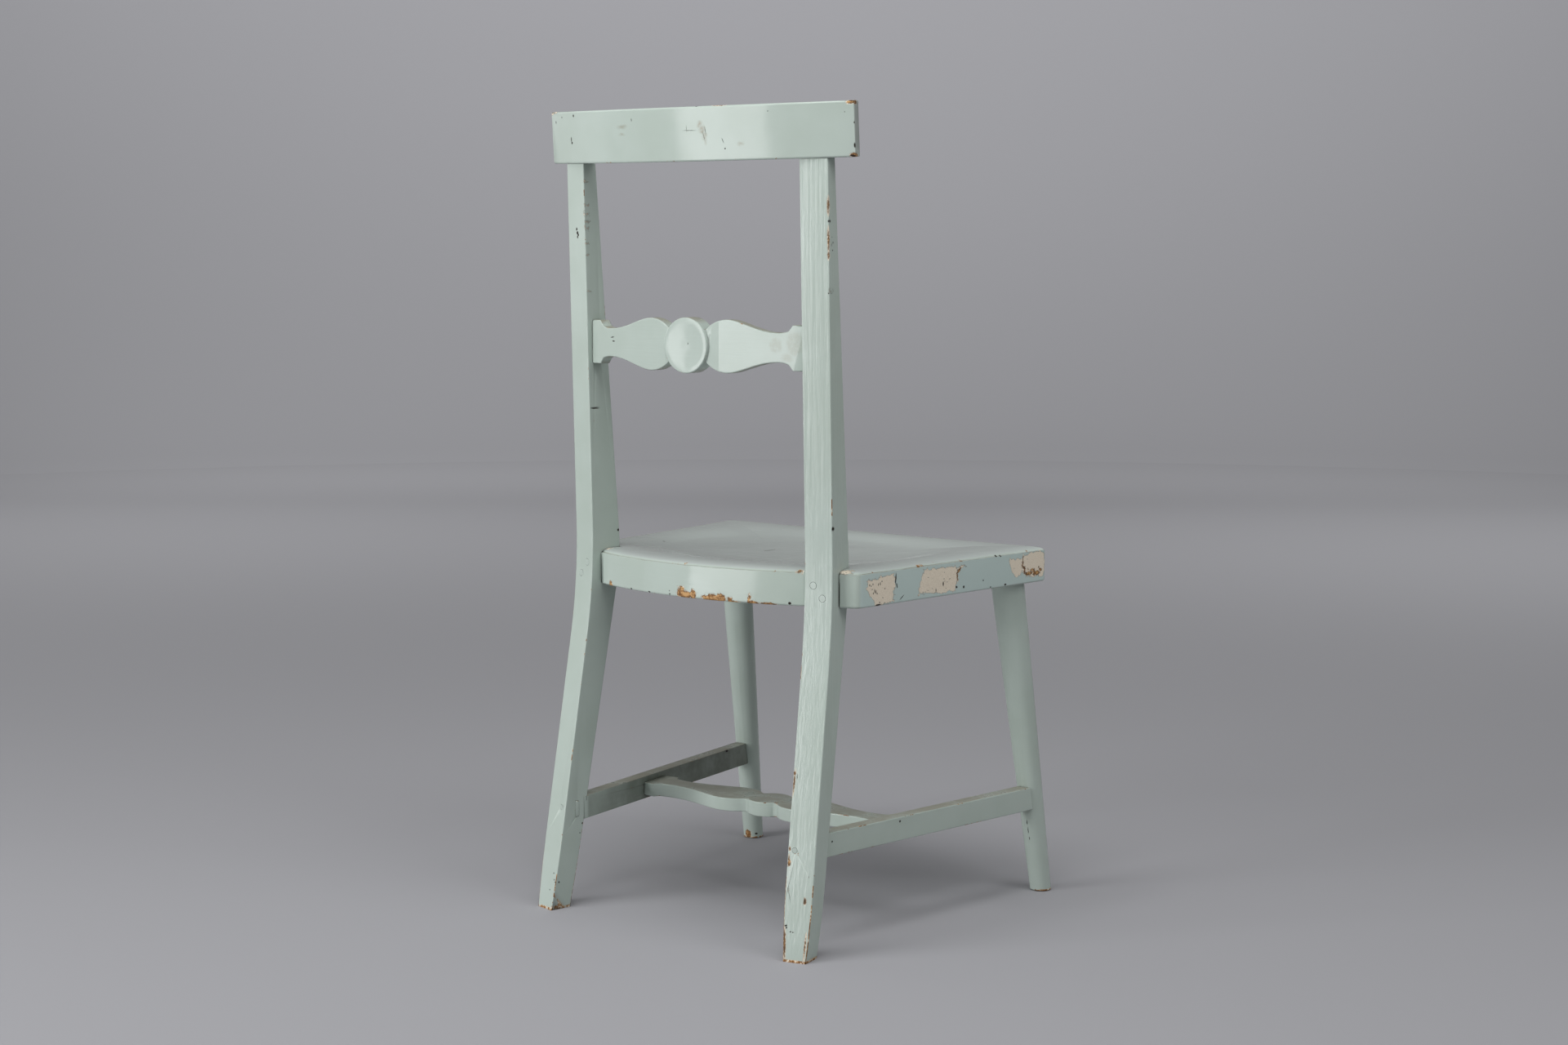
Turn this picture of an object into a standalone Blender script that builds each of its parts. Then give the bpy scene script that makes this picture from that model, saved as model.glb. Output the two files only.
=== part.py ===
"""Painted wooden chair with a curved top rail, a bat-and-disc mid rail and a dished plank seat.

Metres, +Z up. The sitter faces -Y. The origin is on the floor, at the middle of the footprint.
"""
import math

import bmesh
import bpy
from mathutils import Matrix, Vector

# Fit between pieces
GAP = 0.0003                     # clearance round every joint
EASE = 0.0014                    # radius of the eased arrises
ROUND_MID = 0.3                  # middle of a quarter round, as a share of its radius from either side
ROUND_SIDES = 24                 # sides of turned legs
PEG_SIDES = 14                   # sides of pegs and pins
MERGE = 0.000004                 # points closer than this after a cut are one
SHARP_ANGLE = math.radians(35.0)

# Main sizes
HEIGHT = 0.920                   # floor to the highest corner of the top rail
WIDTH = 0.4794                   # across the front of the seat, between its corners before rounding
SEAT_DEPTH = 0.3719              # along the middle of the seat
SEAT_BOTTOM = 0.3767             # floor to the seat's underside

# Seat: a thick plank, let in round the posts
SEAT_BAND = 0.0369               # height of the upright edge
SEAT_ROLL = 0.0043               # rise of the rounded border above the edge
SEAT_ROLL_WIDTH = 0.019
SEAT_QUIRK = 0.0013              # little step between the edge and the rounded border
SEAT_REAR = 0.1989               # middle of the rear edge, behind the reference line
SEAT_REAR_RADIUS = 0.455
SEAT_FRONT = SEAT_DEPTH - SEAT_REAR
SEAT_FRONT_HALF = WIDTH / 2
SEAT_REAR_HALF = SEAT_FRONT_HALF - 0.0360
SEAT_SIDE_Y = SEAT_REAR - 0.0239  # where SEAT_REAR_HALF is measured, behind the reference line
SEAT_REAR_CORNER = 0.012
SEAT_FRONT_CORNER = 0.006
SEAT_LEAST_CORNER = 0.003        # corner radius left where the border has eaten into a corner
SEAT_UNDER_EASE = 0.0024
SEAT_DISH = 0.0070               # depth of the hollow
SEAT_RIM = 0.10                  # share of the way to the middle that stays level
SEAT_HOLLOW = 0.62               # share of the way at which the hollow is at full depth
SEAT_HOLLOW_Y = (SEAT_REAR - SEAT_FRONT) / 2 - 0.0042  # middle of the hollow
SEAT_OVAL_X = 0.317 * WIDTH      # half axes of the oval that the hollow's level lines turn into
SEAT_OVAL_Y = 0.301 * SEAT_DEPTH
SEAT_OVAL_SHARE = 0.50           # share of the way at which they are that oval
SEAT_HOLLOW_RINGS = (0.07, 0.15, 0.23, 0.31, 0.40, 0.50, 0.62, 0.76, 0.90)
SEAT_BOW_STEPS = 14              # steps along half of the rear edge, each side and half of the front
SEAT_SIDE_STEPS = 9
SEAT_FRONT_STEPS = 8
SEAT_CORNER_STEPS = 5            # steps round a rear corner, and over the border
SEAT_FRONT_CORNER_STEPS = 6

# Rear posts, sawn from plank: a straight back, a knee at the seat and a raked leg
POST_SPREAD = SEAT_REAR_HALF - 0.0300  # from the middle of the chair to a post's middle, at the floor
POST_LINE = SEAT_REAR - 0.0192   # from the reference line of the seat back to the posts' line
POST_WIDTH = 0.0334
POST_TOE = math.radians(10.5)    # plan turn of a post's sides
POST_FACE = math.radians(13.0)   # plan turn of its front and rear faces
POST_CLOSING = 0.0044            # how far the posts close in, for each metre of height
HEEL_REAR = 0.0570               # rear edge at the floor, behind the posts' line
HEEL_FRONT = 0.0295              # front edge at the floor
KNEE_REAR = -0.0048              # rear edge at the knee
KNEE_REAR_Z = SEAT_BOTTOM + 0.0048
KNEE_REAR_BLEND = 0.066
KNEE_FRONT = -0.0450             # front edge at the knee
KNEE_FRONT_Z = SEAT_BOTTOM + 0.0313
KNEE_FRONT_BLEND = 0.030
KNEE_STEPS = 4                   # sections through each half of the knee
KNEE_LAST = 0.048                # last section of the knee, above KNEE_FRONT_Z
HEAD_REAR = 0.0072               # rear edge under the top rail
HEAD_FRONT = -0.0106             # front edge under the top rail
TOE_WEAR_HEIGHT = 0.083          # where the worn narrowing of the foot starts
TOE_WEAR = 0.18                  # share of the width that is gone at the floor
TOE_STEPS = (0.0, 0.30, 0.62, 1.0)  # sections through the worn foot, as shares of its height

# Where the seat's rear edge draws in beside the posts
SEAT_TUCK = 0.0050               # how far it draws in
SEAT_TUCK_X = POST_SPREAD - 0.0107  # where it draws in most
SEAT_TUCK_END = SEAT_TUCK_X + 0.022  # where it is back on its arc, inside the notch

# Post head tenons
HEAD_TENON_WIDTH = 0.020
HEAD_TENON_DEPTH = 0.008
HEAD_TENON_LENGTH = 0.028

# Top rail, bent in plan and leaning back with the posts
RAIL_HEIGHT = 0.0590
RAIL_THICKNESS = 0.0205
RAIL_RADIUS = 0.553              # plan radius of the rear face
RAIL_HALF_LENGTH = POST_SPREAD + 0.0427  # straight out from the middle to an end's rear corner
RAIL_LEAN = math.radians(3.4)
RAIL_PROUD = 0.0030              # how far its rear face stands behind the posts
RAIL_EASE = 0.0022
RAIL_STEPS = 28

# Bat outlines, shared by the mid rail and the cross stretcher
BAT_SHOULDER_REACH = 0.72        # share of the round shoulder's radius that shows inside the crest
BAT_CREST_PULL = 0.27            # how long the curve stays level at the crest
BAT_NECK_PULL = 0.42             # how long it stays level at the neck
BAT_SHOULDER_STEPS = 6
BAT_SPAN_STEPS = 8
BAT_COVE_STEPS = 3

# Mid rail: two bats either side of a disc, sawn to outline and bent in plan
MID_HEIGHT = HEIGHT - 0.2625     # floor to its centre line
MID_RADIUS = 0.88                # plan radius of the rear face
MID_SETBACK = 0.0066             # its rear face at a post, in front of the post's rear face
MID_THICKNESS = 0.0140
MID_CREST = 0.0295               # half height at the fullest part of a bat
MID_CREST_X = 0.055
MID_SHOULDER = 0.042             # radius of a bat's round shoulder
MID_NECK = 0.0160                # half height at the neck
MID_COLLAR = 0.0248              # half height of the end collar
MID_COLLAR_X = POST_SPREAD - 0.0342  # where the chamfer meets the collar
MID_COVE_X = MID_COLLAR_X - 0.005  # where the cove meets the collar's chamfer
MID_COVE_RISE = 0.0025
MID_NECK_X = MID_COVE_X - 0.0125
MID_DISC_RADIUS = 0.0310
MID_DISC_REAR = 0.0034           # how far the disc stands proud behind
MID_DISC_FRONT = 0.0012
MID_DISC_DISH = 0.0006           # depth of the shallow hollow in its rear face
DISC_RINGS = (0.8, 0.6, 0.4, 0.2)  # rings across that hollow, as shares of its radius

# Mid rail tenons
MID_TENON_HEIGHT = 0.034
MID_TENON_THICKNESS = 0.008
MID_TENON_LENGTH = 0.012

# Front legs, turned and splayed
LEG_TOP_X = SEAT_FRONT_HALF - 0.0344
LEG_TOP_Y = SEAT_FRONT - 0.0316  # in front of the reference line
LEG_FOOT_X = LEG_TOP_X + 0.0156
LEG_FOOT_Y = LEG_TOP_Y + 0.0552
LEG_TOP_RADIUS = 0.0197
LEG_FOOT_RADIUS = 0.0126
LEG_FOOT_EASE = 0.0016
LEG_TENON_RADIUS = 0.0120
LEG_TENON_LENGTH = 0.024

# Side stretchers
STRETCHER_TOP = 0.1294
STRETCHER_HEIGHT = 0.0273
STRETCHER_THICKNESS = 0.0174
STRETCHER_REAR_INSET = 0.0002    # its inner face behind the post's inner face
STRETCHER_LEG_OFFSET = 0.0021    # its middle, outside the leg's middle
STRETCHER_SCRIBE = 0.0060        # extra length at the post, cut back to its raked front face
STRETCHER_TENON_THICKNESS = 0.0100
STRETCHER_TENON_HEIGHT = 0.0190
STRETCHER_TENON_LENGTH = 0.0170
STRETCHER_DOWEL_RADIUS = 0.0055
STRETCHER_DOWEL_LENGTH = 0.0120  # into the leg
STRETCHER_DOWEL_ROOT = 0.0250    # inside the bar

# Cross stretcher, the same outline as the mid rail, laid flat
CROSS_TOP = STRETCHER_TOP - 0.0070
CROSS_THICKNESS = 0.0158
CROSS_Y = POST_LINE - 0.3595 * SEAT_DEPTH  # its middle, behind the reference line
CROSS_CREST = 0.0305
CROSS_CREST_X = 0.053
CROSS_SHOULDER = 0.040
CROSS_NECK = 0.0142
CROSS_COLLAR = 0.0240
CROSS_COLLAR_X = POST_SPREAD - 0.0122
CROSS_COVE_X = CROSS_COLLAR_X - 0.0045
CROSS_COVE_RISE = 0.0025
CROSS_NECK_X = CROSS_COVE_X - 0.024
CROSS_DISC_RADIUS = 0.0265
CROSS_DISC_PROUD = 0.0008
CROSS_TENON_WIDTH = 0.026
CROSS_TENON_THICKNESS = 0.009
CROSS_TENON_LENGTH = 0.010

# Pegs through the posts into the seat, and pins through the posts into the stretchers
PEG_RADIUS = 0.0038
PEG_LENGTH = 0.066
PEG_UPPER_Z = SEAT_BOTTOM + 0.0253
PEG_LOWER_Z = SEAT_BOTTOM + 0.0118
PEG_UPPER_IN = 0.0063            # towards the middle of the chair from the post's middle
PEG_LOWER_OUT = 0.0048           # away from the middle of the chair
PIN_RADIUS = 0.0030
PIN_LENGTH = 0.036
PIN_Z = STRETCHER_TOP - 0.0109
PIN_IN = 0.0086                  # towards the middle of the chair from the post's middle
PEG_SHOW = 0.0002                # how far a peg's head shows behind the post
HOLE_RUN_OUT = 4                 # how many clearances a hole's cutter stands out behind the post

# Paint colours, linear
REAR_PAINT = (0.52, 0.60, 0.55, 1.0)
SIDE_PAINT = (0.34, 0.42, 0.39, 1.0)
RAIL_PAINT = (0.50, 0.58, 0.53, 1.0)
SEAT_PAINT = (0.46, 0.54, 0.51, 1.0)
LEG_PAINT = (0.38, 0.46, 0.41, 1.0)


def clear_scene():
    """Remove whatever the scene holds."""
    for obj in list(bpy.data.objects):
        bpy.data.objects.remove(obj, do_unlink=True)


def paint(name, colour, roughness=0.38):
    """Return an oil paint material."""
    material = bpy.data.materials.new(name)
    material.use_nodes = True
    shader = material.node_tree.nodes["Principled BSDF"]
    shader.inputs["Base Color"].default_value = colour
    shader.inputs["Roughness"].default_value = roughness
    shader.inputs["Metallic"].default_value = 0.0
    return material


def add_object(name, bm):
    """Turn a bmesh into a linked object."""
    bmesh.ops.recalc_face_normals(bm, faces=bm.faces[:])
    mesh = bpy.data.meshes.new(name)
    bm.to_mesh(mesh)
    bm.free()
    obj = bpy.data.objects.new(name, mesh)
    bpy.context.scene.collection.objects.link(obj)
    return obj


def combine(target, tool, operation):
    """Cut a tool from a target, or join the two, and remove the tool."""
    modifier = target.modifiers.new(operation.lower(), "BOOLEAN")
    modifier.operation = operation
    modifier.solver = "EXACT"
    modifier.object = tool
    depsgraph = bpy.context.evaluated_depsgraph_get()
    mesh = bpy.data.meshes.new_from_object(target.evaluated_get(depsgraph))
    target.modifiers.remove(modifier)
    mesh.name = target.name
    target.data = mesh
    bpy.data.objects.remove(tool, do_unlink=True)
    return target


def finish(obj, material):
    """Merge what the cuts left split, shade the piece and give it its paint."""
    bm = bmesh.new()
    bm.from_mesh(obj.data)
    bmesh.ops.remove_doubles(bm, verts=bm.verts[:], dist=MERGE)
    bmesh.ops.dissolve_degenerate(bm, edges=bm.edges[:], dist=MERGE)
    bm.to_mesh(obj.data)
    bm.free()
    obj.data.shade_smooth()
    obj.data.set_sharp_from_angle(angle=SHARP_ANGLE)
    obj.data.materials.clear()
    obj.data.materials.append(material)


def loft(rings):
    """Skin a list of rings, with a flat cap at each end."""
    bm = bmesh.new()
    loops = [[bm.verts.new(point) for point in ring] for ring in rings]
    for low, high in zip(loops, loops[1:]):
        count = len(low)
        for i in range(count):
            j = (i + 1) % count
            bm.faces.new((low[i], low[j], high[j], high[i]))
    bm.faces.new(loops[0])
    bm.faces.new(loops[-1])
    return bm


def eased_box(half_a, half_b, ease, steps=2):
    """Return the outline of a rectangle with rounded corners, as (a, b) pairs."""
    points = []
    for corner in range(4):
        sign_a = (1, -1, -1, 1)[corner]
        sign_b = (1, 1, -1, -1)[corner]
        for step in range(steps + 1):
            turn = math.pi / 2 * (corner + step / steps)
            points.append((sign_a * (half_a - ease) + ease * math.cos(turn),
                           sign_b * (half_b - ease) + ease * math.sin(turn)))
    return points


def smooth_step(value):
    """Ease from 0 to 1."""
    value = min(1.0, max(0.0, value))
    return value * value * (3 - 2 * value)


def bent_line(z, start, knee_z, knee, end_z, end, blend):
    """Read an edge made of two straight runs that meet in a soft bend."""
    lower = (knee - start) / knee_z
    upper = (end - knee) / (end_z - knee_z)
    offset = z - knee_z
    if offset < -blend:
        return knee + lower * offset
    if offset > blend:
        return knee + upper * offset
    return knee + lower * offset + (upper - lower) * (offset + blend) ** 2 / (4 * blend)


# Rear posts


def post_directions(side):
    """Return the plan directions to a post's rear and to its outer side."""
    rearward = Vector((side * math.sin(POST_TOE), math.cos(POST_TOE), 0))
    outward = Vector((side * math.cos(POST_FACE), -math.sin(POST_FACE), 0))
    return rearward, outward


def post_head_z():
    """Return the height of the post's shoulder under the top rail's lower edge."""
    drop = rail_bow(POST_SPREAD) - rail_bow(RAIL_HALF_LENGTH)
    return HEIGHT - RAIL_HEIGHT * math.cos(RAIL_LEAN) - drop * math.sin(RAIL_LEAN) - 2 * GAP


def post_rear(z):
    """Return a post's rear edge at a height."""
    return bent_line(z, HEEL_REAR, KNEE_REAR_Z, KNEE_REAR, post_head_z(), HEAD_REAR, KNEE_REAR_BLEND)


def post_front(z):
    """Return a post's front edge at a height."""
    return bent_line(z, HEEL_FRONT, KNEE_FRONT_Z, KNEE_FRONT, post_head_z(), HEAD_FRONT, KNEE_FRONT_BLEND)


def post_centre(side, z):
    """Return the point on a post's reference line at a height."""
    return Vector((side * (POST_SPREAD - POST_CLOSING * z), POST_LINE, z))


def post_point(side, z, rearward, outward):
    """Return a point of a post from its offsets to the rear and to the outside."""
    to_rear, to_side = post_directions(side)
    return post_centre(side, z) + to_rear * rearward + to_side * outward


def post_ring(side, z, grow):
    """Return the section of a post at a height."""
    rear = post_rear(z) + grow
    front = post_front(z) - grow
    worn = max(0.0, 1.0 - z / TOE_WEAR_HEIGHT)
    half_width = POST_WIDTH / 2 * (1 - TOE_WEAR * worn ** 2) + grow
    section = eased_box((rear - front) / 2, half_width, EASE)
    middle = (rear + front) / 2
    return [post_point(side, z, middle + a, b) for a, b in section]


def post_blank(name, side, grow=0.0):
    """Model a post without its joints, larger all round by grow."""
    heights = [TOE_WEAR_HEIGHT * share for share in TOE_STEPS]
    heights += [KNEE_REAR_Z + KNEE_REAR_BLEND * k / KNEE_STEPS for k in range(-KNEE_STEPS, KNEE_STEPS + 1)]
    heights += [KNEE_FRONT_Z + KNEE_LAST, post_head_z()]
    rings = [post_ring(side, z, grow) for z in heights]
    rings[-1] = [Vector((p.x, p.y, rail_underside(p.y) - GAP + grow)) for p in rings[-1]]
    return add_object(name, loft(rings))


def head_tenon(name, side, grow=0.0):
    """Model the tenon that stands on a post's shoulder, larger all round by grow."""
    shoulder = post_head_z()
    middle = (HEAD_REAR + HEAD_FRONT) / 2
    lean = math.tan(RAIL_LEAN)
    rings = []
    for z in (shoulder - HEAD_TENON_DEPTH, shoulder + HEAD_TENON_LENGTH + grow):
        section = eased_box(HEAD_TENON_DEPTH / 2 + grow, HEAD_TENON_WIDTH / 2 + grow, EASE)
        shift = middle + (z - shoulder) * lean
        rings.append([post_point(side, z, shift + a, b) for a, b in section])
    return add_object(name, loft(rings))


# Top rail


def rail_bow(x):
    """Return how far the rail's rear face stands behind its own ends' plane at x."""
    return math.sqrt(RAIL_RADIUS ** 2 - x ** 2) - RAIL_RADIUS


def rail_reach():
    """Return the angle from the middle of the rail to its ends, about its bow's centre."""
    return math.asin(RAIL_HALF_LENGTH / RAIL_RADIUS)


def rail_middle():
    """Return the middle of the rail's rear face, set from the posts that carry it."""
    head = post_point(1, post_head_z(), HEAD_REAR, 0.0)
    half = RAIL_HEIGHT / 2
    rear = head.y + RAIL_PROUD - rail_bow(head.x) + half * math.sin(RAIL_LEAN)
    # The highest corner is the front one at either end, because the rail leans back
    corner = rail_bow(RAIL_HALF_LENGTH) - (RAIL_THICKNESS - RAIL_EASE) * math.cos(rail_reach())
    return Vector((0, rear, HEIGHT - half * math.cos(RAIL_LEAN) + corner * math.sin(RAIL_LEAN)))


def rail_underside(y):
    """Return the height of the rail's leaning underside at a distance to the rear."""
    middle = rail_middle()
    fall = (y - middle.y) * math.tan(RAIL_LEAN)
    return middle.z - RAIL_HEIGHT / 2 / math.cos(RAIL_LEAN) - fall


def top_rail():
    """Model the top rail with a blind mortise for each post."""
    reach = rail_reach()
    place = Matrix.Translation(rail_middle()) @ Matrix.Rotation(-RAIL_LEAN, 4, "X")
    section = eased_box(RAIL_THICKNESS / 2, RAIL_HEIGHT / 2, RAIL_EASE)
    rings = []
    for step in range(RAIL_STEPS + 1):
        turn = reach * (2 * step / RAIL_STEPS - 1)
        ring = []
        for a, b in section:
            radius = RAIL_RADIUS - RAIL_THICKNESS / 2 + a
            flat = Vector((radius * math.sin(turn), radius * math.cos(turn) - RAIL_RADIUS, b))
            ring.append(place @ flat)
        rings.append(ring)
    rail = add_object("top_rail", loft(rings))
    for side in (-1, 1):
        combine(rail, head_tenon("mortise", side, GAP), "DIFFERENCE")
    return rail


# Bat-and-disc rails


def bezier(start, first, second, end, share):
    """Read a cubic curve."""
    rest = 1 - share
    return (start * rest ** 3 + first * 3 * rest ** 2 * share
            + second * 3 * rest * share ** 2 + end * share ** 3)


def bat_outline(crest_x, crest, shoulder, neck_x, neck, cove_x, cove_rise, collar_x, collar, end_x):
    """Return the upper edge of one bat, from the middle of the rail out to its end."""
    reach = shoulder * BAT_SHOULDER_REACH
    points = [Vector((0.0, crest - shoulder + math.sqrt(shoulder ** 2 - reach ** 2)))]
    for step in range(BAT_SHOULDER_STEPS):
        across = reach * (1 - step / BAT_SHOULDER_STEPS)
        points.append(Vector((crest_x - across, crest - shoulder + math.sqrt(shoulder ** 2 - across ** 2))))
    top = Vector((crest_x, crest))
    waist = Vector((neck_x, neck))
    span = neck_x - crest_x
    pull_top = Vector((span * BAT_CREST_PULL, 0))
    pull_waist = Vector((-span * BAT_NECK_PULL, 0))
    for step in range(BAT_SPAN_STEPS + 1):
        points.append(bezier(top, top + pull_top, waist + pull_waist, waist, step / BAT_SPAN_STEPS))
    for step in range(1, BAT_COVE_STEPS + 1):
        share = step / BAT_COVE_STEPS
        points.append(Vector((neck_x + (cove_x - neck_x) * share, neck + cove_rise * share ** 2)))
    points.append(Vector((collar_x, collar)))
    points.append(Vector((end_x, collar)))
    return points


def bat_rail(name, outline, thickness, bend, place):
    """Model a sawn rail from the outline of one half: bend is a plan radius, or None for straight."""
    stations = [Vector((-p.x, p.y)) for p in reversed(outline[1:])] + outline
    rings = []
    for station in stations:
        ring = []
        for a, b in eased_box(thickness / 2, station.y, EASE):
            depth = a - thickness / 2
            if bend:
                turn = math.asin(station.x / bend)
                flat = Vector(((bend + depth) * math.sin(turn), (bend + depth) * math.cos(turn) - bend, b))
            else:
                flat = Vector((station.x, depth, b))
            ring.append(place @ flat)
        rings.append(ring)
    return add_object(name, loft(rings))


def rail_disc(radius, low, high, dish, place):
    """Model the disc of a rail, with eased rims, from depth low to depth high, hollowed by dish."""
    round_mid = ROUND_MID * EASE
    flat = radius - EASE
    levels = [(low, flat), (low + EASE, radius), (high - EASE, radius), (high - round_mid, radius - round_mid),
              (high, flat)]
    if dish:
        levels += [(high - dish * (1 - share ** 2), flat * share) for share in DISC_RINGS]
    rings = []
    for depth, reach in levels:
        ring = []
        for step in range(ROUND_SIDES * 2):
            turn = math.pi * step / ROUND_SIDES
            ring.append(place @ Vector((reach * math.cos(turn), depth, reach * math.sin(turn))))
        rings.append(ring)
    return add_object("disc", loft(rings))


def mid_rail_place():
    """Return the frame of the mid rail: the middle of its rear face."""
    at_post = post_point(1, MID_HEIGHT, post_rear(MID_HEIGHT) - MID_SETBACK, -POST_WIDTH / 2)
    bow = math.sqrt(MID_RADIUS ** 2 - at_post.x ** 2) - MID_RADIUS
    return Matrix.Translation(Vector((0, at_post.y - bow, MID_HEIGHT)))


def mid_tenon(name, side, grow=0.0):
    """Model the stub tenon at one end of the mid rail, larger all round by grow."""
    middle = post_rear(MID_HEIGHT) - MID_SETBACK - MID_THICKNESS / 2
    rings = []
    for outward in (-POST_WIDTH / 2 - MID_TENON_LENGTH, -POST_WIDTH / 2 + MID_TENON_LENGTH + grow):
        section = eased_box(MID_TENON_THICKNESS / 2 + grow, MID_TENON_HEIGHT / 2 + grow, EASE)
        rings.append([post_point(side, MID_HEIGHT + b, middle + a, outward) for a, b in section])
    return add_object(name, loft(rings))


def mid_rail():
    """Model the mid rail, shouldered against the posts."""
    outline = bat_outline(MID_CREST_X, MID_CREST, MID_SHOULDER, MID_NECK_X, MID_NECK, MID_COVE_X,
                          MID_COVE_RISE, MID_COLLAR_X, MID_COLLAR, POST_SPREAD)
    place = mid_rail_place()
    rail = bat_rail("mid_rail", outline, MID_THICKNESS, MID_RADIUS, place)
    disc = rail_disc(MID_DISC_RADIUS, -MID_THICKNESS - MID_DISC_FRONT, MID_DISC_REAR, MID_DISC_DISH, place)
    combine(rail, disc, "UNION")
    for side in (-1, 1):
        combine(rail, post_blank("shoulder", side, GAP), "DIFFERENCE")
        combine(rail, mid_tenon("tenon", side), "UNION")
    return rail


# Seat


def arc_through(centre, radius, start, end, steps):
    """Return points on an arc between two angles."""
    return [centre + radius * Vector((math.cos(start + (end - start) * k / steps),
                                      math.sin(start + (end - start) * k / steps)))
            for k in range(steps + 1)]


def seat_side_x(y):
    """Return the half width of the seat at a distance behind the reference line."""
    slope = (SEAT_FRONT_HALF - SEAT_REAR_HALF) / (SEAT_SIDE_Y + SEAT_FRONT)
    return SEAT_REAR_HALF + slope * (SEAT_SIDE_Y - y)


def seat_tuck(x):
    """Return how far the rear edge is drawn in at a distance from the middle."""
    if x < SEAT_TUCK_X:
        return SEAT_TUCK * (x / SEAT_TUCK_X) ** 2
    return SEAT_TUCK * (1 - smooth_step((x - SEAT_TUCK_X) / (SEAT_TUCK_END - SEAT_TUCK_X)))


def seat_half_outline(inset):
    """Return half of the seat's outline moved inwards, from the middle of the rear to that of the front."""
    taper = math.atan((SEAT_FRONT_HALF - SEAT_REAR_HALF) / (SEAT_SIDE_Y + SEAT_FRONT))
    across = Vector((math.cos(taper), math.sin(taper)))
    along = Vector((-across.y, across.x))
    bow_radius = SEAT_REAR_RADIUS - inset
    rear_corner = max(SEAT_REAR_CORNER - inset, SEAT_LEAST_CORNER)
    front_corner = max(SEAT_FRONT_CORNER - inset, SEAT_LEAST_CORNER)
    # The rear corner's fillet touches the rear arc from inside, and the side line
    bow_centre = Vector((0, SEAT_REAR - SEAT_REAR_RADIUS))
    side_point = Vector((seat_side_x(0.0), 0.0)) - across * (inset + rear_corner)
    start = side_point - bow_centre
    half_b = start.dot(along)
    inner = bow_radius - rear_corner
    travel = -half_b + math.sqrt(half_b ** 2 - start.length_squared + inner ** 2)
    fillet = side_point + along * travel
    reach = fillet - bow_centre
    bow_end = math.atan2(reach.x, reach.y)
    outline = []
    for step in range(SEAT_BOW_STEPS):
        turn = bow_end * step / SEAT_BOW_STEPS
        point = bow_centre + bow_radius * Vector((math.sin(turn), math.cos(turn)))
        outline.append(point - Vector((0, seat_tuck(point.x))))
    outline += arc_through(fillet, rear_corner, math.pi / 2 - bow_end, taper, SEAT_CORNER_STEPS)
    # The front corner's fillet touches the side line and the straight front
    front_y = -SEAT_FRONT + inset + front_corner
    front_x = seat_side_x(front_y) - (inset + front_corner) / math.cos(taper)
    corner = Vector((front_x, front_y))
    tail = outline[-1]
    head = corner + front_corner * across
    outline += [tail.lerp(head, k / SEAT_SIDE_STEPS) for k in range(1, SEAT_SIDE_STEPS)]
    outline += arc_through(corner, front_corner, taper, -math.pi / 2, SEAT_FRONT_CORNER_STEPS)
    outline += [Vector((front_x * (1 - k / SEAT_FRONT_STEPS), -SEAT_FRONT + inset))
                for k in range(1, SEAT_FRONT_STEPS + 1)]
    return outline


def seat_ring(inset, z):
    """Return the whole outline of the seat, moved inwards, at a height."""
    half = seat_half_outline(inset)
    left = [Vector((-p.x, p.y)) for p in half[1:-1]]
    outline = [half[0]] + left + [half[-1]] + list(reversed(half[1:-1]))
    return [Vector((p.x, p.y, z)) for p in outline]


def hollow_point(rim, share, z):
    """Return the point a share of the way from the border to the middle of the seat's hollow."""
    middle = Vector((0, SEAT_HOLLOW_Y, 0))
    away = Vector((rim.x, rim.y - middle.y, 0))
    bearing = math.atan2(away.x, away.y)
    oval = away.normalized() / math.hypot(math.sin(bearing) / SEAT_OVAL_X, math.cos(bearing) / SEAT_OVAL_Y)
    if share < SEAT_OVAL_SHARE:
        flat = away.lerp(oval, share / SEAT_OVAL_SHARE)
    else:
        flat = oval * (1 - share) / (1 - SEAT_OVAL_SHARE)
    return Vector((flat.x, flat.y + middle.y, z))


def seat_blank():
    """Model the seat plank: eased underside, upright edge, rounded border and hollow."""
    edge_top = SEAT_BOTTOM + SEAT_BAND
    round_mid = ROUND_MID * SEAT_UNDER_EASE
    levels = [(SEAT_UNDER_EASE, SEAT_BOTTOM), (round_mid, SEAT_BOTTOM + round_mid),
              (0, SEAT_BOTTOM + SEAT_UNDER_EASE), (0, edge_top - SEAT_QUIRK / 2),
              (SEAT_QUIRK / 2, edge_top), (SEAT_QUIRK, edge_top)]
    for step in range(1, SEAT_CORNER_STEPS + 1):
        turn = math.pi / 2 * step / SEAT_CORNER_STEPS
        levels.append((SEAT_QUIRK + SEAT_ROLL_WIDTH * (1 - math.cos(turn)), edge_top + SEAT_ROLL * math.sin(turn)))
    rings = [seat_ring(inset, z) for inset, z in levels]
    rim = rings[-1]
    for share in SEAT_HOLLOW_RINGS:
        fall = SEAT_DISH * smooth_step((share - SEAT_RIM) / (SEAT_HOLLOW - SEAT_RIM))
        rings.append([hollow_point(point, share, edge_top + SEAT_ROLL - fall) for point in rim])
    return add_object("seat", loft(rings))


# Front legs


def leg_point(side, z):
    """Return the middle of a front leg at a height."""
    share = z / SEAT_BOTTOM
    return Vector((side * (LEG_FOOT_X + (LEG_TOP_X - LEG_FOOT_X) * share),
                   -(LEG_FOOT_Y + (LEG_TOP_Y - LEG_FOOT_Y) * share), z))


def leg_radius(z):
    """Return the radius of a front leg at a height."""
    return LEG_FOOT_RADIUS + (LEG_TOP_RADIUS - LEG_FOOT_RADIUS) * z / SEAT_BOTTOM


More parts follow.
